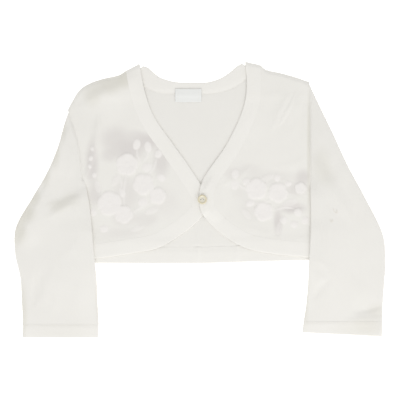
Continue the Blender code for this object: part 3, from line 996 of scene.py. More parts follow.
@dataclass(frozen=True)
class KnitFinish:
    """Fine knit: columns of small loops, slightly cloudy in colour, with shade painted between the loops, and
    a soft nap.
    """

    name: str
    colour: Colour
    # The darker colour of the cloudiness and of the shade painted between the loops
    cloud_and_loop_shade: Colour
    wale: float = 1.15
    course: float = 0.9
    lean: float = 0.8
    purl_wave: float = 0.22
    strength: float = 0.35
    depth: float = 0.22
    cloud_scale: float = 17.0
    cloud_share: float = 0.22
    # How much the painted shade between the loops darkens the colour
    loop_shade_share: float = 0.16
    fuzz_scale: float = 1400.0
    fuzz_share: float = 0.5
    purl: bool = False
    flowered: bool = False
    ground: Colour = (0.71, 0.68, 0.655)
    petal: Colour = (0.85, 0.824, 0.796)
    # The yellowish colour of the shade painted where the cloth lies in shade
    painted_shade: Colour = (0.70, 0.68, 0.605)

    def loops(self, graph: Graph) -> Socket:
        """The height of the knitted loops, from 0 between them to 1 on them.

        Args:
            graph: The finish's nodes.

        Returns:
            The height's socket.
        """
        across, along = graph.cloth_axes()
        turn = graph.math("FRACT", graph.math("MULTIPLY", across, 1.0 / (self.wale * MM)))
        aside = graph.math("MULTIPLY", graph.math("ABSOLUTE", graph.math("SUBTRACT", turn, 0.5)), 2.0)
        row = graph.math("MULTIPLY", along, 1.0 / (self.course * MM))
        if self.purl:
            wave = graph.math("COSINE", graph.math("MULTIPLY", turn, 2.0 * pi))
            phase = graph.math("ADD", row, graph.math("MULTIPLY", wave, self.purl_wave))
        else:
            phase = graph.math("SUBTRACT", row, graph.math("MULTIPLY", aside, self.lean))
        loop = graph.math("COSINE", graph.math("MULTIPLY", phase, 2.0 * pi))
        loop = graph.math("MULTIPLY_ADD", loop, 0.5, 0.5)
        if self.purl:
            return loop
        column = graph.math("SUBTRACT", 1.0, graph.math("POWER", aside, 3.0))
        return graph.math("MULTIPLY", column, graph.math("MULTIPLY_ADD", loop, 0.5, 0.5))

    def material(self) -> Material:
        """The finish as a material.

        Returns:
            The material.
        """
        graph = Graph(self.name, self.colour, 0.92)
        graph.tune({"Sheen Weight": 0.12, "Sheen Roughness": 0.6, "Specular IOR Level": 0.2})
        height = self.loops(graph)
        cloud = graph.math("MULTIPLY_ADD", graph.noise(self.cloud_scale, 3.0), 1.6, -0.3)
        # Painted shade: the colour darkens between the loops, where the knit dips
        loop_shade = graph.math("MULTIPLY", graph.math("SUBTRACT", 1.0, height), self.loop_shade_share)
        share = graph.math("ADD", loop_shade, graph.math("MULTIPLY", cloud, self.cloud_share))
        colour = graph.blend(graph.math("MINIMUM", share, 1.0), self.colour, self.cloud_and_loop_shade)
        if self.flowered:
            colour = graph.blend(graph.mark("ground"), colour, self.ground)
            colour = graph.blend(graph.mark("petal"), colour, self.petal)
        # Painted shade: a yellowish darkening where the piece's mark says the cloth lies in shade
        graph.paint(graph.blend(graph.mark("painted_shade"), colour, self.painted_shade))
        fuzz = graph.math("MULTIPLY", graph.noise(self.fuzz_scale, 1.0), self.fuzz_share)
        graph.raise_by(graph.math("ADD", height, fuzz), self.strength, self.depth)
        return graph.material


@dataclass(frozen=True)
class TapeFinish:
    """Woven tape: a fine plain weave with a faint satin gloss."""

    name: str = "woven_tape"
    colour: Colour = (0.832, 0.836, 0.815)
    crossing: Colour = (0.76, 0.77, 0.745)
    thread: float = 0.45

    def material(self) -> Material:
        """The finish as a material.

        Returns:
            The material.
        """
        graph = Graph(self.name, self.colour, 0.55)
        graph.tune({"Sheen Weight": 0.08})
        turns = 2.0 * pi / (self.thread * MM)
        warp, weft = (graph.math("SINE", graph.math("MULTIPLY", axis, turns)) for axis in graph.cloth_axes())
        height = graph.math("MULTIPLY_ADD", graph.math("MULTIPLY", warp, weft), 0.5, 0.5)
        graph.paint(graph.blend(graph.math("MULTIPLY", height, 0.3), self.colour, self.crossing))
        graph.raise_by(height, 0.3, 0.12)
        return graph.material


@dataclass(frozen=True)
class ThreadFinish:
    """Sewing thread: off-white, slightly glossy, twisted."""

    name: str = "sewing_thread"
    colour: Colour = (0.85, 0.82, 0.76)
    twist: Colour = (0.74, 0.70, 0.63)

    def material(self) -> Material:
        """The finish as a material.

        Returns:
            The material.
        """
        graph = Graph(self.name, self.colour, 0.6)
        twist = graph.noise(2600.0, 1.0)
        graph.paint(graph.blend(graph.math("MULTIPLY", twist, 0.4), self.colour, self.twist))
        graph.raise_by(twist, 0.3, 0.08)
        return graph.material


@dataclass(frozen=True)
class ResinFinish:
    """Button resin with an olive rim, partly its own tone and partly shade painted round the dish, and a
    pearly swirl in its middle, under a clear polish.
    """

    name: str = "olive_resin"
    colour: Colour = (0.72, 0.685, 0.56)
    light: Colour = (0.80, 0.77, 0.67)
    # The rim's olive, darkened as painted shade round the dish
    rim: Colour = (0.72, 0.655, 0.47)

    def material(self) -> Material:
        """The finish as a material.

        Returns:
            The material.
        """
        graph = Graph(self.name, self.colour, 0.28)
        graph.tune({"Coat Weight": 0.4, "Coat Roughness": 0.12})
        swirl = graph.math("MULTIPLY_ADD", graph.noise(320.0, 3.0), 1.8, -0.4)
        # The rim mark paints the olive tone and the shade round the dish
        graph.paint(graph.blend(graph.mark("rim"), graph.blend(swirl, self.colour, self.light), self.rim))
        return graph.material


# Each knit's second colour is the darker one of its cloudiness and of the shade painted between its loops
PLAIN = KnitFinish("fine_knit", (0.84, 0.824, 0.784), (0.76, 0.742, 0.695))
INSIDE = KnitFinish("fine_knit_inside", (0.815, 0.81, 0.782), (0.74, 0.734, 0.705), purl=True)
BAND = KnitFinish("band_knit", (0.87, 0.853, 0.812), (0.77, 0.752, 0.707), wale=1.3)
FLOWERED = KnitFinish("flowered_knit", (0.85, 0.834, 0.792), (0.755, 0.737, 0.69), flowered=True)
TAPE = TapeFinish()
THREAD = ThreadFinish()
RESIN = ResinFinish()
Finish = KnitFinish | TapeFinish | ThreadFinish | ResinFinish


@dataclass
class Laid:
    """A cloth surface: its points, the height of its wall, its weave axes and marks.

    The points are those of the under face, or of the outer face where the surface is a tube.
    """

    points: Array
    wall: float
    thickness: Array
    axes: Array
    marks: dict[str, Array] = field(default_factory=dict)
    tube: bool = False

    def top(self) -> Array:
        """The points of the upper face, for what lies on it.

        Returns:
            The grid of points.
        """
        raised = self.points.copy()
        if not self.tube:
            raised[..., 2] += self.wall * self.thickness
        return raised

    def height_at(self, x: float, y: float, around: float = 1.6) -> float:
        """The height of the upper face at a place.

        Args:
            x: Where the place is across the garment.
            y: Where it is along it.
            around: How much further away than the nearest point a point still counts.

        Returns:
            The greatest height there.
        """
        points = self.top().reshape(-1, 3)
        away = np.hypot(points[:, 0] - x, points[:, 1] - y)
        return float(points[away < away.min() + around][:, 2].max())


@dataclass
class Garment:
    """What every part of the garment shares: how its pieces are made and dressed."""

    finishes: dict[str, Material] = field(default_factory=dict)
    built: list[str] = field(default_factory=list)

    def dress(self, finish: Finish) -> Material:
        """The material of a finish, made once.

        Args:
            finish: The finish.

        Returns:
            Its material.
        """
        if finish.name not in self.finishes:
            self.finishes[finish.name] = finish.material()
        return self.finishes[finish.name]

    def show(self, name: str, shape: Shape, finishes: list[Finish], slot: Slot) -> Piece:
        """Make a finished shape an object that rides with the garment.

        Args:
            name: The piece's name.
            shape: Its shape, in metres, which is freed.
            finishes: Its finishes, the first for all its faces.
            slot: The record's finish that it goes with; not used.

        Returns:
            The object.
        """
        mesh = mesh_of(name, shape)
        mesh.shade_smooth()
        for finish in finishes:
            mesh.materials.append(self.dress(finish))
        piece = place_object(name, mesh)
        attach(piece, "root")
        self.built.append(name)
        LOG.info("%s: %d points", name, len(mesh.vertices))
        return piece

    def lay(self, name: str, node: str, laid: Laid, finishes: list[Finish], slot: Slot) -> Piece:
        """Make a cloth piece from its surface.

        Args:
            name: The piece's name.
            node: The solid that it stands for.
            laid: Its surface.
            finishes: The finish of its upper face and, if there is a second, of its under face.
            slot: The record's finish that it goes with; passed on to show, which does not use it.

        Returns:
            The object, with its wall added outwards.
        """
        rows, columns = (size - 1 for size in laid.points.shape[:2])
        shape = bmesh.new()
        bmesh.ops.create_grid(shape, x_segments=columns, y_segments=rows, size=0.5)
        axes = shape.loops.layers.uv.new("Cloth")
        weights = shape.verts.layers.deform.verify()
        marks = {key: shape.verts.layers.float.new(key) for key in laid.marks}
        shape.verts.index_update()
        places = []
        for vertex in shape.verts:
            places.append((round((vertex.co.y + 0.5) * rows), round((vertex.co.x + 0.5) * columns)))
        for face in shape.faces:
            for corner in face.loops:
                corner[axes].uv = laid.axes[places[corner.vert.index]] * MM
        for vertex, place in zip(shape.verts, places):
            vertex.co = to_world(*laid.points[place])
            vertex[weights][0] = float(laid.thickness[place])
            for key, layer in marks.items():
                vertex[layer] = float(laid.marks[key][place])
        if laid.tube:
            bmesh.ops.remove_doubles(shape, verts=shape.verts, dist=SAME_PLACE)
        shape.normal_update()
        highest = max(shape.faces, key=lambda face: face.calc_center_median().z)
        if highest.normal.z < 0.0:
            bmesh.ops.reverse_faces(shape, faces=shape.faces)
        piece = self.show(name, shape, finishes, slot)
        piece.vertex_groups.new(name="thickness")
        solid = piece.modifiers.new("Wall", "SOLIDIFY")
        solid.thickness = laid.wall * MM
        solid.offset = -1.0 if laid.tube else 1.0
        solid.vertex_group = "thickness"
        solid.use_quality_normals = True
        if len(finishes) > 1:
            solid.material_offset = -1
            for face in piece.data.polygons:
                face.material_index = 1
        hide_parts(node)
        return piece

    def declare(self, piece: Piece, rests_on: list[str], sewn: tuple = ()) -> None:
        """Does nothing; no flat cut is declared.

        Args:
            piece: The piece; not used.
            rests_on: The names of what it lies on; not used.
            sewn: The pieces that are sewn to it; not used.
        """


@dataclass
class Front:
    """The form of one front: its opening edge, the band along it and the panel behind the band."""

    side: Side
    under: "Front | None" = None
    apex_y: float = 1.0
    roll: float = 4.5
    roll_gap: float = 0.1
    rise: float = 180.0
    slant: float = 6.0
    slant_reach: float = 24.0
    beyond_all: float = 100.0
    reach_rows: tuple[float, float] = (-90.0, 180.0)
    reach_band: float = 2.0
    hem_ramp: tuple[float, float] = (14.0, 4.0)
    neck_ramp: tuple[float, float] = (118.0, 130.0)
    lap_ramp: tuple[float, float] = (3.0, 28.0)

    def __post_init__(self) -> None:
        """Measure the edge, and how far the front under this one reaches."""
        self.edge = SmoothLine(rows_of(FRONT_EDGE[self.side]))
        self.apex = self.edge.share_at_height(self.apex_y)
        if self.under is not None:
            points = self.under.edge.points
            heights = np.arange(*self.reach_rows)
            near = [points[np.abs(points[:, 1] - y) < self.reach_band, 0] for y in heights]
            furthest = [found.max() if len(found) else points[:, 0].min() for found in near]
            self.reach = (heights, np.array(furthest))

    def inside_edge(self, share: Array, depth: Array | float) -> Array:
        """The points that lie a depth in from the opening edge.

        Args:
            share: Shares of the edge's length, from the shoulder.
            depth: The depths, in millimetres.

        Returns:
            One row for each point.
        """
        ahead = self.edge.direction(share)
        inward = np.stack([-ahead[:, 1], ahead[:, 0]], axis=1) * self.side.outward
        slant = self.slant * np.maximum(0.0, 1.0 - share * self.edge.length / self.slant_reach)
        depth = np.broadcast_to(depth, np.shape(share))
        along = slant * depth / WALLS.band_width
        return self.edge.at(share) + inward * depth[:, None] + ahead * along[:, None]

    def beyond(self, x: Array, y: Array) -> Array:
        """How far places are beyond the other front, where that one lies under this.

        Args:
            x: Places across the garment.
            y: Places along it.

        Returns:
            The distances.
        """
        if self.under is None:
            return np.full(np.shape(x), self.beyond_all)
        return x - np.interp(y, *self.reach)

    def rest(self, x: Array, y: Array) -> Array:
        """The height of the cloth's under face on what lies under it, with its largest folds.

        Args:
            x: Places across the garment.
            y: Places along it.

        Returns:
            The heights.
        """
        hem = hem_y(x) + WALLS.hem_depth
        over_hem = smooth_step(hem + self.hem_ramp[0], hem + self.hem_ramp[1], y)
        over_neck = smooth_step(*self.neck_ramp, y)
        height = WALLS.on_back + (WALLS.on_band - WALLS.on_back) * np.maximum(over_hem, over_neck)
        height = height + WALLS.overlap * (1.0 - smooth_step(*self.lap_ramp, self.beyond(x, y)))
        return height + relief(FRONT_CREASES[self.side], x, y)

    def roll_drop(self, away: Array, height: Array) -> Array:
        """How far the cloth comes down where it rolls over the shoulder, by the distance from it."""
        return (height - self.roll_gap) * (1.0 - np.minimum(away, self.roll) / self.roll) ** 2


def hem_y(x: Array) -> Array:
    """The lower edge of the back at x."""
    rows = rows_of(HEM)
    return np.interp(x, rows[:, 0], rows[:, 1])


def inset_row(rows: Array, position: float, wall: float) -> Across:
    """The line across the inner surface, a wall in from the sleeve's two edges.

    Args:
        rows: The sleeve's rows.
        position: The place among them.
        wall: The cloth's wall.

    Returns:
        The line.
    """
    row = Across(*spline(rows, position)[0])
    step = spline(rows, position + ROW_STEP)[0] - spline(rows, max(position - ROW_STEP, 0.0))[0]
    down_inner = unit(step[:2])
    down_outer = unit(step[2:4])
    across = unit(row.outer - row.inner)
    square = np.array([-down_inner[1], down_inner[0]])
    if square[0] * row.inner_x < 0.0:
        square = -square
    slope = abs(across[0] * down_outer[1] - across[1] * down_outer[0])
    back = min(wall / max(slope, LEAST_SLOPE), MOST_BACK)
    return Across(*(row.inner + square * wall), *(row.outer - across * back), row.bow)


def body_side(side: Side, corner: Array | list, end: float) -> SmoothLine:
    """The side edge of the front and the back, tucked a little into the sleeve.

    Args:
        side: The side of the body.
        corner: The lower end of the edge.
        end: The share of the armhole at which it ends.

    Returns:
        The line, from its corner up to the end of the armhole.
    """
    mouth = inset_row(rows_of(SLEEVE_ROWS[side])[:-1], 0.0, WALLS.cloth)
    armhole = mouth.points(np.array([*ARMHOLE_SHARES, end]))
    line = np.vstack([rows_of(SIDE_SEAM[side])[1:], armhole])
    y = line[:, 1]
    tuck = WALLS.tuck * smooth_step(WALLS.tuck_from, WALLS.tuck_to, y)
    corner_tuck = WALLS.corner_tuck * np.exp(-(((y - WALLS.corner_y) / WALLS.corner_reach) ** 2))
    line[:, 0] += side.outward * (tuck + corner_tuck)
    return SmoothLine(np.vstack([corner, line]))


@dataclass(frozen=True)
class Flowers:
    """The tonal flowers of one front: open blooms, buds and leaves on a tinted ground."""

    side: Side
    rise: float = 0.8
    petals: int = 5
    petal_edge: float = 0.88
    petal_reach: float = 0.13
    petal_fullness: float = 0.6
    petal_ramp: tuple[float, float] = (0.88, 1.06)
    cleft_depth: float = 0.3
    cleft_ramp: tuple[float, float] = (0.0, 0.34)
    cleft_start: tuple[float, float] = (0.1, 0.5)
    cup_height: float = 0.68
    cup_ramp: tuple[float, float] = (0.12, 0.7)
    heart_radius: float = 0.16
    heart_height: float = 0.4
    bud_height: float = 0.75
    bud_ramp: tuple[float, float] = (0.8, 1.15)
    leaf_height: float = 0.4
    leaf_ramp: tuple[float, float] = (0.75, 1.1)
    leaf_cover: float = 0.5
    stem_width: float = 1.9
    stem_gain: float = 1.6
    stem_cover: float = 0.7

    def bloom(self, bloom: Bloom, x: Array, y: Array) -> tuple[Array, Array]:
        """The height and the coverage of one open flower, from 0 to 1.

        Args:
            bloom: The flower.
            x: Places across the garment.
            y: Places along it.

        Returns:
            The heights and the coverage.
        """
        away = np.hypot(x - bloom.x, y - bloom.y) / bloom.radius
        angle = np.arctan2(y - bloom.y, x - bloom.x) - radians(bloom.turn)
        lobe = np.abs(np.cos(0.5 * self.petals * angle))
        inside = away / (self.petal_edge + self.petal_reach * lobe**self.petal_fullness)
        cover = 1.0 - smooth_step(*self.petal_ramp, inside)
        between = (1.0 - smooth_step(*self.cleft_ramp, lobe)) * smooth_step(*self.cleft_start, away)
        cup = from_least(self.cup_height, smooth_step(*self.cup_ramp, inside))
        heart = np.exp(-((away / self.heart_radius) ** 2)) * self.heart_height
        return cover * np.minimum(1.0, (1.0 - self.cleft_depth * between) * cup + heart), cover

    def drawn(self, x: Array, y: Array) -> list[tuple[Array, Array]]:
        """The height and the coverage of every flower, bud, leaf and stem.

        Args:
            x: Places across the garment.
            y: Places along it.

        Returns:
            A pair for each of them.
        """
        shapes = [self.bloom(bloom, x, y) for bloom in BLOOMS[self.side]]
        for bud in BUDS[self.side]:
            inside = oval(bud, x, y)
            height = self.bud_height * np.sqrt(np.clip(1.0 - inside**2, 0.0, 1.0))
            shapes.append((height, 1.0 - smooth_step(*self.bud_ramp, inside)))
        for leaf in LEAVES[self.side]:
            inside = oval(leaf, x, y)
            height = self.leaf_height * (1.0 - smooth_step(*self.leaf_ramp, inside))
            shapes.append((height, self.leaf_cover * (1.0 - smooth_step(*self.bud_ramp, inside))))
        for stem in STEMS[self.side]:
            line = Crease(stem.x1, stem.y1, stem.x2, stem.y2, self.stem_width, 1.0, stem.bow)
            thread = np.minimum(relief([line], x, y) * self.stem_gain, 1.0)
            shapes.append((self.leaf_height * thread, self.stem_cover * thread))
        return shapes

    def marks(self, x: Array, y: Array) -> tuple[Array, dict[str, Array]]:
        """The raised height of the cloth, and the marks that its finish reads.

        Args:
            x: Places across the garment.
            y: Places along it.

        Returns:
            The heights, from 0 to 1, and the ground, petal and painted shade marks.
        """
        heights, covers = zip(*self.drawn(x, y))
        petal = np.clip(np.maximum.reduce(covers), 0.0, 1.0)
        # The third mark is painted shade, where the cloth lies in shade
        marks = {"ground": tinted(HAZES[self.side], x, y), "petal": petal, "painted_shade": tinted(PAINTED_SHADES, x, y)}
        return np.maximum.reduce(heights), marks


@dataclass
class Stitching:
    """Rows of small stitches that lie on the cloth."""

    garment: Garment
    pitch: float = 2.6
    length: float = 2.1
    radius: float = 0.17
    swing: float = 1.6
    start: float = 0.1
    ahead: float = 0.5

    def add(self, shape: Shape, start: Vector, end: Vector) -> None:
        """Add one stitch from a start to an end, half sunk in the cloth.

        Args:
            shape: The shape that takes it.
            start: Where the thread comes out, in metres.
            end: Where it goes in.
        """
        run = end - start
        turn = Vector((0.0, 0.0, 1.0)).rotation_difference(run).to_matrix().to_4x4()
        size = Matrix.Diagonal((self.radius * MM, self.radius * MM, run.length / 2.0, 1.0))
        place = Matrix.Translation((start + end) / 2.0) @ turn @ size
        bmesh.ops.create_uvsphere(shape, u_segments=6, v_segments=4, radius=1.0, matrix=place)

    def along(self, name: str, line: Array, sewing: Sewing, slot: Slot = Slot.BAND) -> Piece:
        """A row of stitches along a line of points.

        Args:
            name: The piece's name.
            line: The points, in the tables' millimetres.
            sewing: The kind of stitch.
            slot: The record's finish that it goes with; passed on to show, which does not use it.

        Returns:
            The object.
        """
        lengths = run_lengths(line)
        shape = bmesh.new()
        for number in range(int(lengths[-1] / self.pitch)):
            ends = []
            for offset in (0.0, self.length):
                at = (number + self.start) * self.pitch + offset
                point, ahead = (
                    np.array([np.interp(place, lengths, line[:, axis]) for axis in range(3)])
                    for place in (at, at + self.ahead)
                )
                if sewing is Sewing.ZIGZAG:
                    run = (ahead - point)[:2]
                    aside = np.array([-run[1], run[0], 0.0]) / max(hypot(*run), SAME_PLACE)
                    point = point + aside * self.swing * (0.5 if (number + (offset > 0.0)) % 2 else -0.5)
                ends.append(to_world(*point))
            self.add(shape, *ends)
        bmesh.ops.recalc_face_normals(shape, faces=shape.faces)
        return self.garment.show(name, shape, [THREAD], slot)


@dataclass
class BackPart:
    """The back: its panel, its hem band and the band round the back of the neck."""

    garment: Garment
    panel_height: float = 215.0
    neck_length: float = 175.0
    neck_depth: float = 17.0
    shoulder_inset: float = 2.9
    armhole_end: float = 0.99
    panel_rise: float = 0.9
    hem_rise: float = 0.7
    neck_rise: float = 0.3

    def neck_line(self, share: Array) -> tuple[Array, Array]:
        """The outer and inner points of the neck band at shares of its rows."""
        section = spline(rows_of(NECK_ROWS), np.asarray(share) * (len(NECK_ROWS) - 1))
        return section[:, :2], section[:, 2:4]

    def hem_seam(self, x: Array) -> Array:
        """The lower edge of the panel at x, just above the hem band."""
        return hem_y(x) + WALLS.hem_depth - WALLS.lap

    def top_edge(self, left: Array, right: Array) -> Array:
        """The upper edge of the panel, over both shoulders and under the neck band.

        Args:
            left: The upper end of the left side.
            right: The upper end of the right side.

        Returns:
            The points, from left to right.
        """
        outer, inner = self.neck_line(np.linspace(0.0, 1.0, 61))
        away = inner - outer
        neck = inner - away / np.hypot(*away.T)[:, None] * WALLS.lap
        shoulders = {}
        for side, corner, end in ((Side.LEFT, left, neck[0]), (Side.RIGHT, right, neck[-1])):
            inset = rows_of(SHOULDER[side])[::-1] - [0.0, self.shoulder_inset]
            line = SmoothLine(np.vstack([corner, inset, end]))
            shoulders[side] = line.at(np.linspace(0.0, 1.0, 25))[:-1]
        return np.vstack([shoulders[Side.LEFT], neck, shoulders[Side.RIGHT][::-1]])

    def build_panel(self) -> Piece:
        """The back panel, flat on the floor, with soft creases in its upper face.

        Returns:
            The object.
        """
        up = edge_spaced(76, self.panel_height)
        sides = {}
        for side in Side:
            x = SIDE_SEAM[side][0].x
            sides[side] = body_side(side, [x, float(self.hem_seam(x))], self.armhole_end).at(up)
        left, right = sides[Side.LEFT], sides[Side.RIGHT]
        top = self.top_edge(left[-1], right[-1])
        across = (top[:, 0] - top[0, 0]) / (top[-1, 0] - top[0, 0])
        bottom_x = left[0, 0] + (right[0, 0] - left[0, 0]) * across
        bottom = np.stack([bottom_x, self.hem_seam(bottom_x)], axis=1)
        plan = patch(bottom, top, left, right, across, up)
        x, y = plan[..., 0], plan[..., 1]
        edges = edge_distances(plan)
        raised = relief(BACK_CREASES, x, y) + ripple(x, y, BACK_WAVES, 0.25)
        raised = raised * smooth_step(0.0, 10.0, np.minimum(edges.first, edges.last))
        least = np.minimum(eased(edges.top, 2.0, 0.94), eased(edges.bottom, 2.0, 0.96))
        wall = WALLS.cloth + self.panel_rise
        thickness = (WALLS.cloth * least + raised * smooth_step(0.0, 3.0, edges.bottom)) / wall
        laid = Laid(np.dstack([plan, np.zeros(x.shape)]), wall, thickness, plan)
        return self.garment.lay("back_cloth", "back_panel", laid, [INSIDE, PLAIN], Slot.KNIT)

    def build_hem(self) -> Piece:
        """The doubled band along the lower edge.

        Returns:
            The object.
        """
        first, last = (SIDE_SEAM[side][0].x for side in Side)
        along = edge_spaced(130, last - first)
        up = edge_spaced(7, WALLS.hem_depth)
        x = np.broadcast_to(first + (last - first) * along[None], (len(up), len(along)))
        y = hem_y(x) + WALLS.hem_depth * up[:, None]
        plan = np.dstack([x, y])
        edges = edge_distances(plan)
        least = np.minimum(rounded(edges.bottom, 1.3, 0.35), eased(edges.top, 7.0, 0.66))
        raised = relief(BACK_CREASES, x, y) + ripple(x, y, BACK_WAVES, 0.2)
        wall = WALLS.band + self.hem_rise
        thickness = (WALLS.band * least + raised * smooth_step(0.0, 4.0, edges.bottom)) / wall
        laid = Laid(np.dstack([plan, np.zeros(x.shape)]), wall, thickness, plan)
        return self.garment.lay("back_hem_cloth", "back_hem_band", laid, [BAND], Slot.BAND)

    def build_neck(self) -> tuple[Piece, Laid]:
        """The doubled band round the back of the neck.

        Returns:
            The object and its surface.
        """
        outer, inner = self.neck_line(edge_spaced(84, self.neck_length))
        up = edge_spaced(6, self.neck_depth)
        plan = inner[None] + (outer - inner)[None] * up[:, None, None]
        edges = edge_distances(plan)
        least = np.minimum(rounded(edges.top, 1.3, 0.35), eased(edges.bottom, 6.0, 0.68))
        x, y = plan[..., 0], plan[..., 1]
        wall = WALLS.band + self.neck_rise
        raised = ripple(x, y, NECK_WAVES, 0.2) * smooth_step(0.0, 3.0, edges.bottom)
        along = np.broadcast_to(edges.first.mean(axis=0)[None], x.shape)
        points = np.dstack([plan, np.zeros(x.shape)])
        laid = Laid(points, wall, (WALLS.band * least + raised) / wall, np.dstack([along, edges.bottom]))
        return self.garment.lay("neck_band_cloth", "neck_band", laid, [BAND], Slot.BAND), laid

    def build(self) -> None:
        hem = self.build_hem()
        neck, surface = self.build_neck()
        panel = self.build_panel()
        seam_line = surface.top()[3, 2:-2]
        seam = Stitching(self.garment).along("neck_seam_stitches", seam_line, Sewing.ZIGZAG)
        self.garment.declare(panel, ["floor"])
        self.garment.declare(hem, ["floor"])
        self.garment.declare(neck, ["floor"], (seam,))


@dataclass
class FrontPart:
    """One front: its panel with raised flowers, and the doubled band along its opening edge."""

    garment: Garment
    form: Front
    panel_width: float = 150.0
    panel_height: float = 215.0
    band_length: float = 340.0
    armhole_end: float = 1.026
    waves: float = 0.35
    free_from_hem: tuple[float, float] = (-50.0, -40.0)
    free_to_neck: tuple[float, float] = (108.0, 118.0)
    edge_drop: float = 0.28
    edge_reach: float = 3.0
    drop_ramp: tuple[float, float] = (0.0, 20.0)
    lap_reach: float = 11.0
    lap_ramp: tuple[float, float] = (-2.0, 5.0)
    bulk: float = 0.45
    bulk_reach: float = 24.0
    corner_rise: float = 0.7
    corner_reach: float = 6.0

    def over_back(self, y: Array) -> Array:
        """1 where the front's free edge lies on the back panel, and 0 on its bands."""
        return smooth_step(*self.free_from_hem, y) * (1.0 - smooth_step(*self.free_to_neck, y))

    def surface(self, x: Array, y: Array, calm: Array) -> Array:
        """The height of the under face with its narrower creases and slight waves.

        Args:
            x: Places across the garment.
            y: Places along it.
            calm: The share that the creases and waves have of their height.

        Returns:
            The heights.
        """
        side = self.form.side
        fine = relief(FINE_FRONT_CREASES[side], x, y) + ripple(x, y, FRONT_WAVES[side], self.waves)
        return self.form.rest(x, y) + fine * calm

    def build_panel(self) -> Piece:
        """The panel behind the band.

        Returns:
            The object.
        """
        side = self.form.side
        across = edge_spaced(112, self.panel_width)
        up = edge_spaced(160, self.panel_height)
        depth = WALLS.band_width - WALLS.lap
        bottom = self.form.inside_edge(1.0 + (self.form.apex - 1.0) * across, depth)
        front = self.form.inside_edge(self.form.apex * (1.0 - up), depth)
        corner = self.form.inside_edge(np.array([1.0]), depth)[0]
        outer = body_side(side, corner, self.armhole_end).at(up)
        top = SmoothLine(np.vstack([outer[-1], rows_of(SHOULDER[side])[::-1], front[-1]])).at(across)
        plan = patch(bottom, top, outer, front, across, up)
        x, y = plan[..., 0], plan[..., 1]
        edges = edge_distances(plan)
        height = self.surface(x, y, smooth_step(0.0, 4.0, np.minimum(edges.first, edges.top)))
        away = (1.0 - up) * self.form.rise
        height = height - self.form.roll_drop(away[:, None], height)
        seam_end = SIDE_SEAM[side][-1]
        from_end = np.hypot(x - seam_end.x, y - seam_end.y) / self.corner_reach
        height = height + self.corner_rise * np.exp(-(from_end**2))
        flowers = Flowers(side)
        rise, marks = flowers.marks(x, y)
        seams = np.minimum(eased(edges.last, 2.0, 0.98), eased(edges.bottom, 2.0, 0.98))
        seams = np.minimum(seams, rounded(edges.first, 1.4, 0.45))
        at_band = 1.0 - smooth_step(0.0, self.bulk_reach, np.minimum(edges.last, edges.bottom))
        wall = WALLS.cloth + flowers.rise + self.bulk
        thickness = (WALLS.cloth * seams + flowers.rise * rise + self.bulk * at_band) / wall
        laid = Laid(np.dstack([plan, height]), wall, thickness, plan, marks)
        name = f"front_cloth_{side.value}"
        return self.garment.lay(name, f"front_panel_{side.value}", laid, [FLOWERED], Slot.FLOWERED)

    def build_band(self) -> tuple[Piece, Laid]:
        """The band along the opening edge, from the side seam up to the shoulder.

        Returns:
            The object and its surface.
        """
        share = edge_spaced(250, self.band_length)[::-1]
        depth = edge_spaced(9, WALLS.band_width)[::-1]
        plan = np.stack([self.form.inside_edge(share, WALLS.band_width * row) for row in depth])
        x, y = plan[..., 0], plan[..., 1]
        edges = edge_distances(plan)
        calm = smooth_step(0.0, 5.0, np.minimum(edges.first, edges.last))
        height = self.surface(x, y, calm)
        away = share / self.form.apex * self.form.rise
        height = height - self.form.roll_drop(np.broadcast_to(away[None], x.shape), height)
        beyond = smooth_step(*self.lap_ramp, self.form.beyond(x, y))
        above = np.maximum(height - WALLS.on_back, 0.0) * beyond
        at_edge = 1.0 - smooth_step(0.0, self.lap_reach, edges.top)
        height = height - above * at_edge * self.over_back(y) * calm
        drop = self.edge_drop * from_least(0.5, smooth_step(*self.drop_ramp, y))
        height = height - drop * (1.0 - smooth_step(0.0, self.edge_reach, edges.top)) * calm
        profile = np.minimum(rounded(edges.top, 0.8, 0.5), eased(edges.bottom, 4.0, 0.93))
        along = np.broadcast_to((share * self.form.edge.length)[None], x.shape)
        laid = Laid(np.dstack([plan, height]), WALLS.band, profile, np.dstack([along, edges.bottom]))
        side = self.form.side.value
        name = f"front_band_cloth_{side}"
        return self.garment.lay(name, f"front_band_{side}", laid, [BAND], Slot.BAND), laid

    def build(self) -> Laid:
        """Returns:
            The band's surface, for what lies on it.
        """
        under = ["back_cloth", "back_hem_cloth", "neck_band_cloth"]
        if self.form.side is Side.RIGHT:
            under = [*under, "front_cloth_left", "front_band_cloth_left"]
        panel = self.build_panel()
        band, surface = self.build_band()
        self.garment.declare(panel, under)
        self.garment.declare(band, under)
        return surface


@dataclass(frozen=True)
class Cells:
    """The numbers of a tube's cells across its under layer, across its upper layer and round a fold."""

    under: int
    over: int
    fold: int


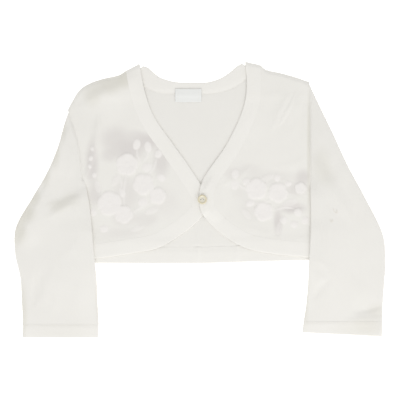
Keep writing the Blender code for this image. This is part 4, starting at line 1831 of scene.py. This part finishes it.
@dataclass
class SleevePart:
    """One sleeve: a tube pressed flat, folded down beside the body and a little over it, with its cuff."""

    garment: Garment
    form: Front
    under_fade: float = 15.0
    upper_fade: float = 62.0
    fade_from: float = 2.5
    air: float = 1.8
    pressed: float = 0.4
    pressed_reach: float = 0.25
    thin: float = 0.1
    thin_ramp: tuple[float, float] = (3.0, 6.0)
    puff: float = 0.9
    puff_fullness: float = 0.7
    flat: float = 1.2
    roll: float = 3.0
    least: float = 0.35
    waves: float = 0.4
    wave_ramp: tuple[float, float] = (4.0, 14.0)
    yarn: float = 0.32
    near_mouth: tuple[float, ...] = (0.0, 0.6, 1.2, 1.9, 2.7, 3.6, 4.8)
    near_seam: tuple[float, ...] = (1.6, 1.0, 0.5, 0.0)
    rings: int = 117
    sleeve_cells: Cells = Cells(26, 64, 10)
    cuff_cells: Cells = Cells(26, 60, 8)

    def __post_init__(self) -> None:
        """Measure the sleeve, its cuff's seam and its armhole."""
        self.side = self.form.side
        self.rows = rows_of(SLEEVE_ROWS[self.side])
        self.middle = SmoothLine((self.rows[:, :2] + self.rows[:, 2:4]) / 2.0)
        at_seam = (len(self.rows) - 2) * SmoothLine.STEPS
        self.seam = float(self.middle.lengths[at_seam] / self.middle.length)
        self.mouth = inset_row(self.rows, 0.0, WALLS.cloth).points(np.linspace(0.0, 1.0, 121))

    def lift(self, x: Array, y: Array, levels: list[Level], fade: float) -> Array:
        """The height of a layer over the floor where the sleeve lies over the body's side.

        Args:
            x: Places across the garment.
            y: Places along it.
            levels: The heights over the body.
            fade: How far beyond the body's side the layer comes down to the floor.

        Returns:
            The heights.
        """
        seam = rows_of(sorted(SIDE_SEAM[self.side], key=lambda spot: spot.y))
        beyond = (x - np.interp(y, seam[:, 1], seam[:, 0])) * self.side.outward
        height = np.zeros(x.shape)
        for here, after in zip(levels, levels[1:]):
            height = height + (after.height - here.height) * smooth_step(here.y, after.y, y)
        return height * (1.0 - smooth_step(self.fade_from, fade, beyond))

    def space(self, x: Array, y: Array, across: Array) -> Array:
        """The space between the two layers.

        Args:
            x: Places across the garment.
            y: Places along it.
            across: How far across the sleeve they are, from 0 to 1.

        Returns:
            The heights of the space.
        """
        away = np.hypot(x[:, None] - self.mouth[:, 0], y[:, None] - self.mouth[:, 1]).min(axis=1)
        plain = self.air * from_least(self.pressed, smooth_step(0.0, self.pressed_reach, across))
        at_mouth = np.where(away < self.flat + self.roll, self.form.rest(x, y) - WALLS.cloth, plain)
        rolled = smooth_step(self.flat, self.flat + self.roll, away)
        space = at_mouth + (plain - at_mouth) * rolled
        space = space + self.puff * rolled * np.sin(pi * np.clip(across, 0.0, 1.0)) ** self.puff_fullness
        creases = relief(SLEEVE_CREASES[self.side] + FINE_SLEEVE_CREASES[self.side], x, y)
        waves = ripple(x, y, SLEEVE_WAVES[self.side], self.waves) * smooth_step(*self.wave_ramp, away)
        return np.maximum(self.least, space + rolled * creases + waves)

    def loop(self, share: float, wall: float, full: float, cells: Cells) -> tuple[Array, Array]:
        """The points round the outer surface at a share of the sleeve's length.

        Args:
            share: The share of the length, from the armhole.
            wall: The cloth's wall.
            full: The share of the wall that the cloth has here.
            cells: The cells round it.

        Returns:
            The points, and their distances round the tube.
        """
        position = float(self.middle.position(share))
        row = inset_row(self.rows, position, wall)
        edge = spline(self.rows, position)[0]
        inside = hypot(*(row.outer - row.inner))
        here = wall * full

        def layers(distance: Array, first: float, last: float) -> tuple[Array, Array, Array]:
            """The plan at distances across, and the inner heights of both layers between two folds.

            Args:
                distance: The distances.
                first: Where the inner fold starts.
                last: Where the outer fold starts.

            Returns:
                The points in plan, the under heights and the upper heights.
            """
            plan = row.points(np.clip(distance, first, last) / inside)
            start, end = row.points(np.array([first, last]) / inside)
            inner = np.clip((first - distance) / (first + here), 0.0, 1.0)[:, None]
            outer = np.clip((distance - last) / (inside - last + here), 0.0, 1.0)[:, None]
            plan = plan + (edge[:2] - start) * inner + (edge[2:4] - end) * outer
            x, y = plan[:, 0], plan[:, 1]
            floor = wall + self.lift(x, y, LIFT_LEVELS, self.under_fade)
            over = wall + self.lift(x, y, UPPER_LEVELS, self.upper_fade)
            return plan, floor, over + self.space(x, y, distance / inside) - (wall - WALLS.cloth)

        half = self.air / 2.0
        _, floors, tops = layers(np.array([0.0, inside]), half, inside - half)
        middles, radii = (floors + tops) / 2.0, (tops - floors) / 2.0
        first, last = radii[0], inside - radii[1]
        radii = radii + here
        turn = pi * np.arange(1, cells.fold) / cells.fold
        under = layers(first + (last - first) * np.linspace(0.0, 1.0, cells.under + 1), first, last)
        outer = layers(last + radii[1] * np.sin(turn), first, last)
        over = layers(last + (first - last) * np.linspace(0.0, 1.0, cells.over + 1), first, last)
        inner = layers(first - radii[0] * np.sin(turn), first, last)
        ring = [
            np.column_stack([under[0], under[1] - here]),
            np.column_stack([outer[0], middles[1] - radii[1] * np.cos(turn)]),
            np.column_stack([over[0], over[2] + here]),
            np.column_stack([inner[0], middles[0] + radii[0] * np.cos(turn)]),
        ]
        points = np.vstack([*ring, ring[0][:1]])
        return points, run_lengths(points)

    def tube(self, shares: Array, wall: float, full: Array, cells: Cells) -> Laid:
        """The surface of a stretch of the sleeve.

        Args:
            shares: Where its rows lie along the sleeve.
            wall: The cloth's wall.
            full: The share of the wall that the cloth has at each row.
            cells: The cells round it.

        Returns:
            The surface.
        """
        loops = [self.loop(float(share), wall, float(here), cells) for share, here in zip(shares, full)]
        points = np.stack([loop[0] for loop in loops])
        x, y = points[..., 0], points[..., 1]
        along = np.broadcast_to((shares * self.middle.length)[:, None], x.shape)
        axes = np.dstack([np.stack([loop[1] for loop in loops]), along])
        corner = np.hypot(x - self.rows[0, 0], y - self.rows[0, 1])
        thickness = full[:, None] * from_least(self.thin, smooth_step(*self.thin_ramp, corner))
        # The sleeve's mark is painted shade, where the cloth lies in shade
        return Laid(points, wall, thickness, axes, {"painted_shade": tinted(PAINTED_SHADES, x, y)}, tube=True)

    def build_sleeve(self) -> tuple[Piece, Laid]:
        """The sleeve, from the armhole to the cuff's seam.

        Returns:
            The object and its surface.
        """
        length = self.middle.length
        near = np.array(self.near_mouth) / length
        end = np.array(self.near_seam) / length
        last = self.seam + WALLS.lap / length
        middle = np.linspace(near[-1], last - end[0], self.rings + 1)
        shares = np.concatenate([near, middle[1:], last - end[1:]])
        full = np.minimum(rounded(shares * length, 2.6, 0.62), eased((last - shares) * length, 1.6, 0.96))
        laid = self.tube(shares, WALLS.cloth, full, self.sleeve_cells)
        side = self.side.value
        return self.garment.lay(f"sleeve_cloth_{side}", f"sleeve_{side}", laid, [PLAIN], Slot.KNIT), laid

    def build_cuff(self) -> tuple[Piece, Laid]:
        """The turned-up hem at the sleeve's end.

        Returns:
            The object and its surface.
        """
        length = (1.0 - self.seam) * self.middle.length
        shares = self.seam + (1.0 - self.seam) * edge_spaced(7, length)
        start = (shares - self.seam) * self.middle.length
        full = np.minimum(eased(start, 4.0, CUFF_SEAM[self.side]), rounded(length - start, 1.4, 0.4))
        laid = self.tube(shares, WALLS.band, full, self.cuff_cells)
        side = self.side.value
        return self.garment.lay(f"cuff_cloth_{side}", f"cuff_{side}", laid, [BAND], Slot.BAND), laid

    def pull_loops(self, surface: Laid) -> list[Piece]:
        """Small loops of yarn that were pulled out of the knit.

        Args:
            surface: The sleeve's surface.

        Returns:
            The objects.
        """
        pieces = []
        middle, upright = Vector(), Vector((0.0, 0.0, 1.0))
        for number, pull in enumerate(PULLS[self.side], 1):
            shape = bmesh.new()
            start = Matrix.Translation((pull.width * MM, 0.0, 0.0)) @ Matrix.Rotation(pi / 2.0, 4, "X")
            made = bmesh.ops.create_circle(shape, segments=8, radius=self.yarn * MM, matrix=start)
            spin(shape, made["verts"], middle, upright, pull.turn, 14)
            bmesh.ops.holes_fill(shape, edges=shape.edges)
            stretch = Vector((1.0, pull.length / pull.width, 1.0))
            bmesh.ops.scale(shape, vec=stretch, verts=shape.verts)
            bmesh.ops.rotate(shape, cent=middle, matrix=Matrix.Rotation(pull.lean, 3, "Z"), verts=shape.verts)
            place = to_world(pull.x, pull.y, surface.height_at(pull.x, pull.y) + 0.5 * self.yarn)
            bmesh.ops.translate(shape, verts=shape.verts, vec=place)
            bmesh.ops.recalc_face_normals(shape, faces=shape.faces)
            name = f"pulled_loop_{self.side.value}_{number}"
            pieces.append(self.garment.show(name, shape, [THREAD], Slot.KNIT))
        return pieces

    def build(self) -> None:
        side = self.side.value
        sleeve, surface = self.build_sleeve()
        pulled = self.pull_loops(surface)
        cuff, laid = self.build_cuff()
        first = self.cuff_cells.under + self.cuff_cells.fold
        upper = laid.top()[4, first : first + self.cuff_cells.over + 1]
        sewn = Stitching(self.garment).along(f"cuff_stitches_{side}", upper, Sewing.RUN)
        under = ["floor", f"front_cloth_{side}", f"front_band_cloth_{side}"]
        self.garment.declare(sleeve, under, tuple(pulled))
        self.garment.declare(cuff, ["floor"], (sewn,))


@dataclass
class NeckLabel:
    """The bare woven tape in the back of the neck, half on the band and half on the panel."""

    garment: Garment
    low: Spot = Spot(-30.7, 120.8)
    high: Spot = Spot(2.0, 137.3)
    wall: float = 0.8
    lift: float = 0.1
    bulge: float = 0.35
    band_from: float = 125.0
    band_to: float = 129.3

    def height(self, y: Array) -> Array:
        """The height of the tape's under face at y."""
        on_band = smooth_step(self.band_from, self.band_to, y)
        return WALLS.on_back + (WALLS.on_band - WALLS.on_back) * on_band + self.lift

    def build(self) -> None:
        width, depth = self.high.x - self.low.x, self.high.y - self.low.y
        along = edge_spaced(16, width)
        up = edge_spaced(8, depth)
        x, y = np.meshgrid(self.low.x + width * along, self.low.y + depth * up)
        plan = np.dstack([x, y])
        bulge = self.bulge * np.sin(pi * along)[None] ** 0.5 * np.sin(pi * up)[:, None]
        profile = rounded(np.minimum.reduce(edge_distances(plan)), 0.6, 0.5)
        laid = Laid(np.dstack([plan, self.height(y) + bulge]), self.wall, profile, plan)
        tape = self.garment.lay("label_tape", "neck_label", laid, [TAPE], Slot.LABEL)
        stitching = Stitching(self.garment)
        top = laid.top()[2:-2]
        left = stitching.along("label_stitches_left", top[:, 5], Sewing.RUN, Slot.LABEL)
        right = stitching.along("label_stitches_right", top[:, -6], Sewing.RUN, Slot.LABEL)
        self.garment.declare(tape, ["back_cloth", "neck_band_cloth"], (left, right))


@dataclass
class Fastening:
    """The two-hole button, the thread that holds it and the sewn slit of its buttonhole."""

    garment: Garment
    place: Spot = Spot(3.0, -0.2)
    radius: float = 5.7
    height: float = 3.0
    rim: float = 1.3
    # Where the rim's olive tone and painted shade start and where they are full
    rim_from: float = 3.2
    rim_to: float = 4.4
    dish: float = 1.1
    hole: float = 0.8
    spacing: float = 3.0
    turns: int = 64
    strands: int = 4
    strand_gap: float = 0.3
    strand_radius: float = 0.2
    strand_depth: float = 0.9
    slit_length: float = 14.0
    slit_offset: float = 0.8
    slit_half: float = 0.25
    slit_reach: float = 1.2
    slit_pitch: float = 0.42
    slit_rise: float = 0.02

    @property
    def seat(self) -> float:
        """The height of the button's under face."""
        return WALLS.on_back + WALLS.overlap + WALLS.band + WALLS.seam

    def profile(self) -> list[tuple[float, float]]:
        """The button's half section, from the middle of its face round to the middle of its back.

        Returns:
            The radius and height of each point, in millimetres.
        """
        dish = self.height - self.dish
        inner = self.radius - self.rim
        return [
            (0.0, dish),
            (inner - 1.4, dish),
            (inner - 0.5, dish + 0.35),
            (inner, self.height - 0.25),
            (inner + 0.3, self.height - 0.04),
            (self.radius - 0.85, self.height),
            (self.radius - 0.4, self.height - 0.25),
            (self.radius - 0.1, self.height - 0.8),
            (self.radius, 0.5 * self.height),
            (self.radius - 0.25, 0.75),
            (self.radius - 0.9, 0.25),
            (self.radius - 2.0, 0.0),
            (0.0, 0.0),
        ]

    def turned_disc(self) -> Piece:
        """The disc before its holes are drilled.

        Returns:
            The object.
        """
        shape = bmesh.new()
        points = [shape.verts.new((radius * MM, 0.0, height * MM)) for radius, height in self.profile()]
        for pair in zip(points, points[1:]):
            shape.edges.new(pair)
        spin(shape, points, Vector(), Vector((0.0, 0.0, 1.0)), 2.0 * pi, self.turns)
        bmesh.ops.remove_doubles(shape, verts=shape.verts, dist=SAME_PLACE)
        bmesh.ops.recalc_face_normals(shape, faces=shape.faces)
        return place_object("button_blank", mesh_of("button_blank", shape))

    def drill(self, offset: float) -> Piece:
        """A drill for the hole that lies so far to one side.

        Args:
            offset: The hole's place beside the middle.

        Returns:
            The object.
        """
        shape = bmesh.new()
        place = Matrix.Translation((offset * MM, 0.0, 0.5 * self.height * MM))
        bore, depth = self.hole * MM, 3.0 * self.height * MM
        bmesh.ops.create_cone(
            shape, cap_ends=True, segments=24, radius1=bore, radius2=bore, depth=depth, matrix=place
        )
        return place_object("drill", mesh_of("drill", shape))

    def build_button(self) -> None:
        """The turned disc with its two drilled holes."""
        disc = self.turned_disc()
        drills = [self.drill(sign * self.spacing) for sign in (-0.5, 0.5)]
        for drill in drills:
            cut = disc.modifiers.new("Hole", "BOOLEAN")
            cut.operation = "DIFFERENCE"
            cut.solver = "EXACT"
            cut.object = drill
        bpy.context.view_layer.update()
        shape = bmesh.new()
        shape.from_mesh(disc.evaluated_get(bpy.context.evaluated_depsgraph_get()).data)
        for helper in (disc, *drills):
            bpy.data.objects.remove(helper)
        # The rim mark: the olive tone, with shade painted round the dish
        rims = shape.verts.layers.float.new("rim")
        for vertex in shape.verts:
            away = hypot(vertex.co.x, vertex.co.y) / MM
            vertex[rims] = float(smooth_step(self.rim_from, self.rim_to, away))
        middle = to_world(self.place.x, self.place.y, self.seat)
        bmesh.ops.translate(shape, verts=shape.verts, vec=middle)
        bmesh.ops.remove_doubles(shape, verts=shape.verts, dist=SAME_PLACE)
        piece = self.garment.show("button_disc", shape, [RESIN], Slot.BUTTON)
        sharp = piece.modifiers.new("Round edges", "BEVEL")
        sharp.width = 0.12 * MM
        sharp.segments = 2
        sharp.limit_method = "ANGLE"
        sharp.angle_limit = radians(50.0)
        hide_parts("button")

    def build_thread(self) -> None:
        """Strands that cross from hole to hole."""
        shape = bmesh.new()
        level = self.seat + self.height - self.dish - self.strand_depth
        for strand in range(self.strands):
            y = self.place.y + (strand - 0.5 * (self.strands - 1)) * self.strand_gap
            start = Matrix.Translation(to_world(self.place.x - self.spacing / 2.0, y, level))
            made = bmesh.ops.create_circle(shape, segments=8, radius=self.strand_radius * MM, matrix=start)
            centre = to_world(self.place.x, y, level)
            spin(shape, made["verts"], centre, Vector((0.0, 1.0, 0.0)), pi, 14)
        bmesh.ops.recalc_face_normals(shape, faces=shape.faces)
        self.garment.show("button_thread", shape, [THREAD], Slot.BUTTON)

    def build_buttonhole(self, band: Laid) -> None:
        """The oversewn slit along the band, mostly under the button.

        Args:
            band: The band's surface.
        """
        shape = bmesh.new()
        stitching = Stitching(self.garment)
        middle = self.place.y + self.slit_offset
        rows = int(self.slit_length / self.slit_pitch)
        for row in range(rows + 1):
            y = middle + (row / rows - 0.5) * self.slit_length
            half = 0.0 if row in (0, 1, rows - 1, rows) else self.slit_half
            for sign in (-1.0, 1.0):
                ends = []
                for reach in (half, self.slit_reach):
                    x = self.place.x + reach * sign
                    ends.append(to_world(x, y, band.height_at(x, y) + self.slit_rise))
                stitching.add(shape, *ends)
        bmesh.ops.recalc_face_normals(shape, faces=shape.faces)
        self.garment.show("buttonhole_stitches", shape, [THREAD], Slot.BAND)

    def build(self, band: Laid) -> None:
        """Build the fastening on the right front's band.

        Args:
            band: The band's surface.
        """
        self.build_button()
        self.build_thread()
        self.build_buttonhole(band)


@dataclass(frozen=True)
class Studio:
    """A pale floor, soft light from the lower right and a camera straight above."""

    frame_width: float = 0.4975
    distance: float = 1.6
    sensor: float = 36.0
    centre: tuple[float, float] = (-0.00069, 0.00019)
    floor_size: float = 3.0
    floor_level: float = -0.0002
    floor_glow: float = 0.6
    surround: float = 0.80
    lamp_place: tuple[float, float, float] = (0.3, -1.5, 1.25)
    lamp_size: tuple[float, float] = (2.2, 1.8)
    lamp_power: float = 18.0

    def build_floor(self) -> None:
        """The floor just under the cloth."""
        shape = bmesh.new()
        place = Matrix.Translation((0.0, 0.0, self.floor_level))
        bmesh.ops.create_grid(shape, x_segments=2, y_segments=2, size=self.floor_size, matrix=place)
        graph = Graph("floor_paper", (0.93, 0.93, 0.925), 0.9)
        graph.tune({"Emission Color": (1.0, 1.0, 1.0, 1.0), "Emission Strength": self.floor_glow})
        graph.tune({"Specular IOR Level": 0.0})
        mesh = mesh_of("floor", shape)
        mesh.materials.append(graph.material)
        place_object("floor", mesh)

    def build_light(self) -> None:
        """An even white surround and one large soft lamp."""
        world = bpy.data.worlds.new("surround")
        bpy.context.scene.world = world
        world.use_nodes = True
        background = world.node_tree.nodes["Background"]
        background.inputs[0].default_value = (1.0, 1.0, 1.0, 1.0)
        background.inputs[1].default_value = self.surround
        lamp = bpy.data.lights.new("soft_lamp", "AREA")
        lamp.shape = "RECTANGLE"
        lamp.size, lamp.size_y = self.lamp_size
        lamp.energy = self.lamp_power
        holder = place_object("soft_lamp", lamp)
        holder.location = self.lamp_place
        holder.rotation_euler = (-Vector(self.lamp_place)).to_track_quat("-Z", "Y").to_euler()

    def build_camera(self) -> None:
        """The camera straight above, with the garment's neck at the top of the frame."""
        camera = bpy.data.cameras.new("camera")
        camera.sensor_width = self.sensor
        camera.lens = self.sensor * self.distance / self.frame_width
        holder = place_object("camera", camera)
        holder.location = (*self.centre, self.distance)
        bpy.context.scene.camera = holder

    def build(self) -> None:
        """Build the floor, the light and the camera."""
        self.build_floor()
        self.build_light()
        self.build_camera()
        bpy.context.scene.view_settings.view_transform = "Standard"


def clear_scene() -> None:
    """Remove what the scene holds."""
    for thing in list(bpy.data.objects):
        bpy.data.objects.remove(thing)


def main() -> None:
    """Build the garment and its surroundings."""
    logging.basicConfig(level=logging.INFO, format="%(message)s")
    clear_scene()
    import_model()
    garment = Garment()
    left = Front(Side.LEFT)
    right = Front(Side.RIGHT, left)
    BackPart(garment).build()
    FrontPart(garment, left).build()
    band = FrontPart(garment, right).build()
    SleevePart(garment, left).build()
    SleevePart(garment, right).build()
    NeckLabel(garment).build()
    Fastening(garment).build(band)
    Studio().build()
    LOG.info("%d pieces", len(garment.built))


if __name__ == "__main__":
    main()
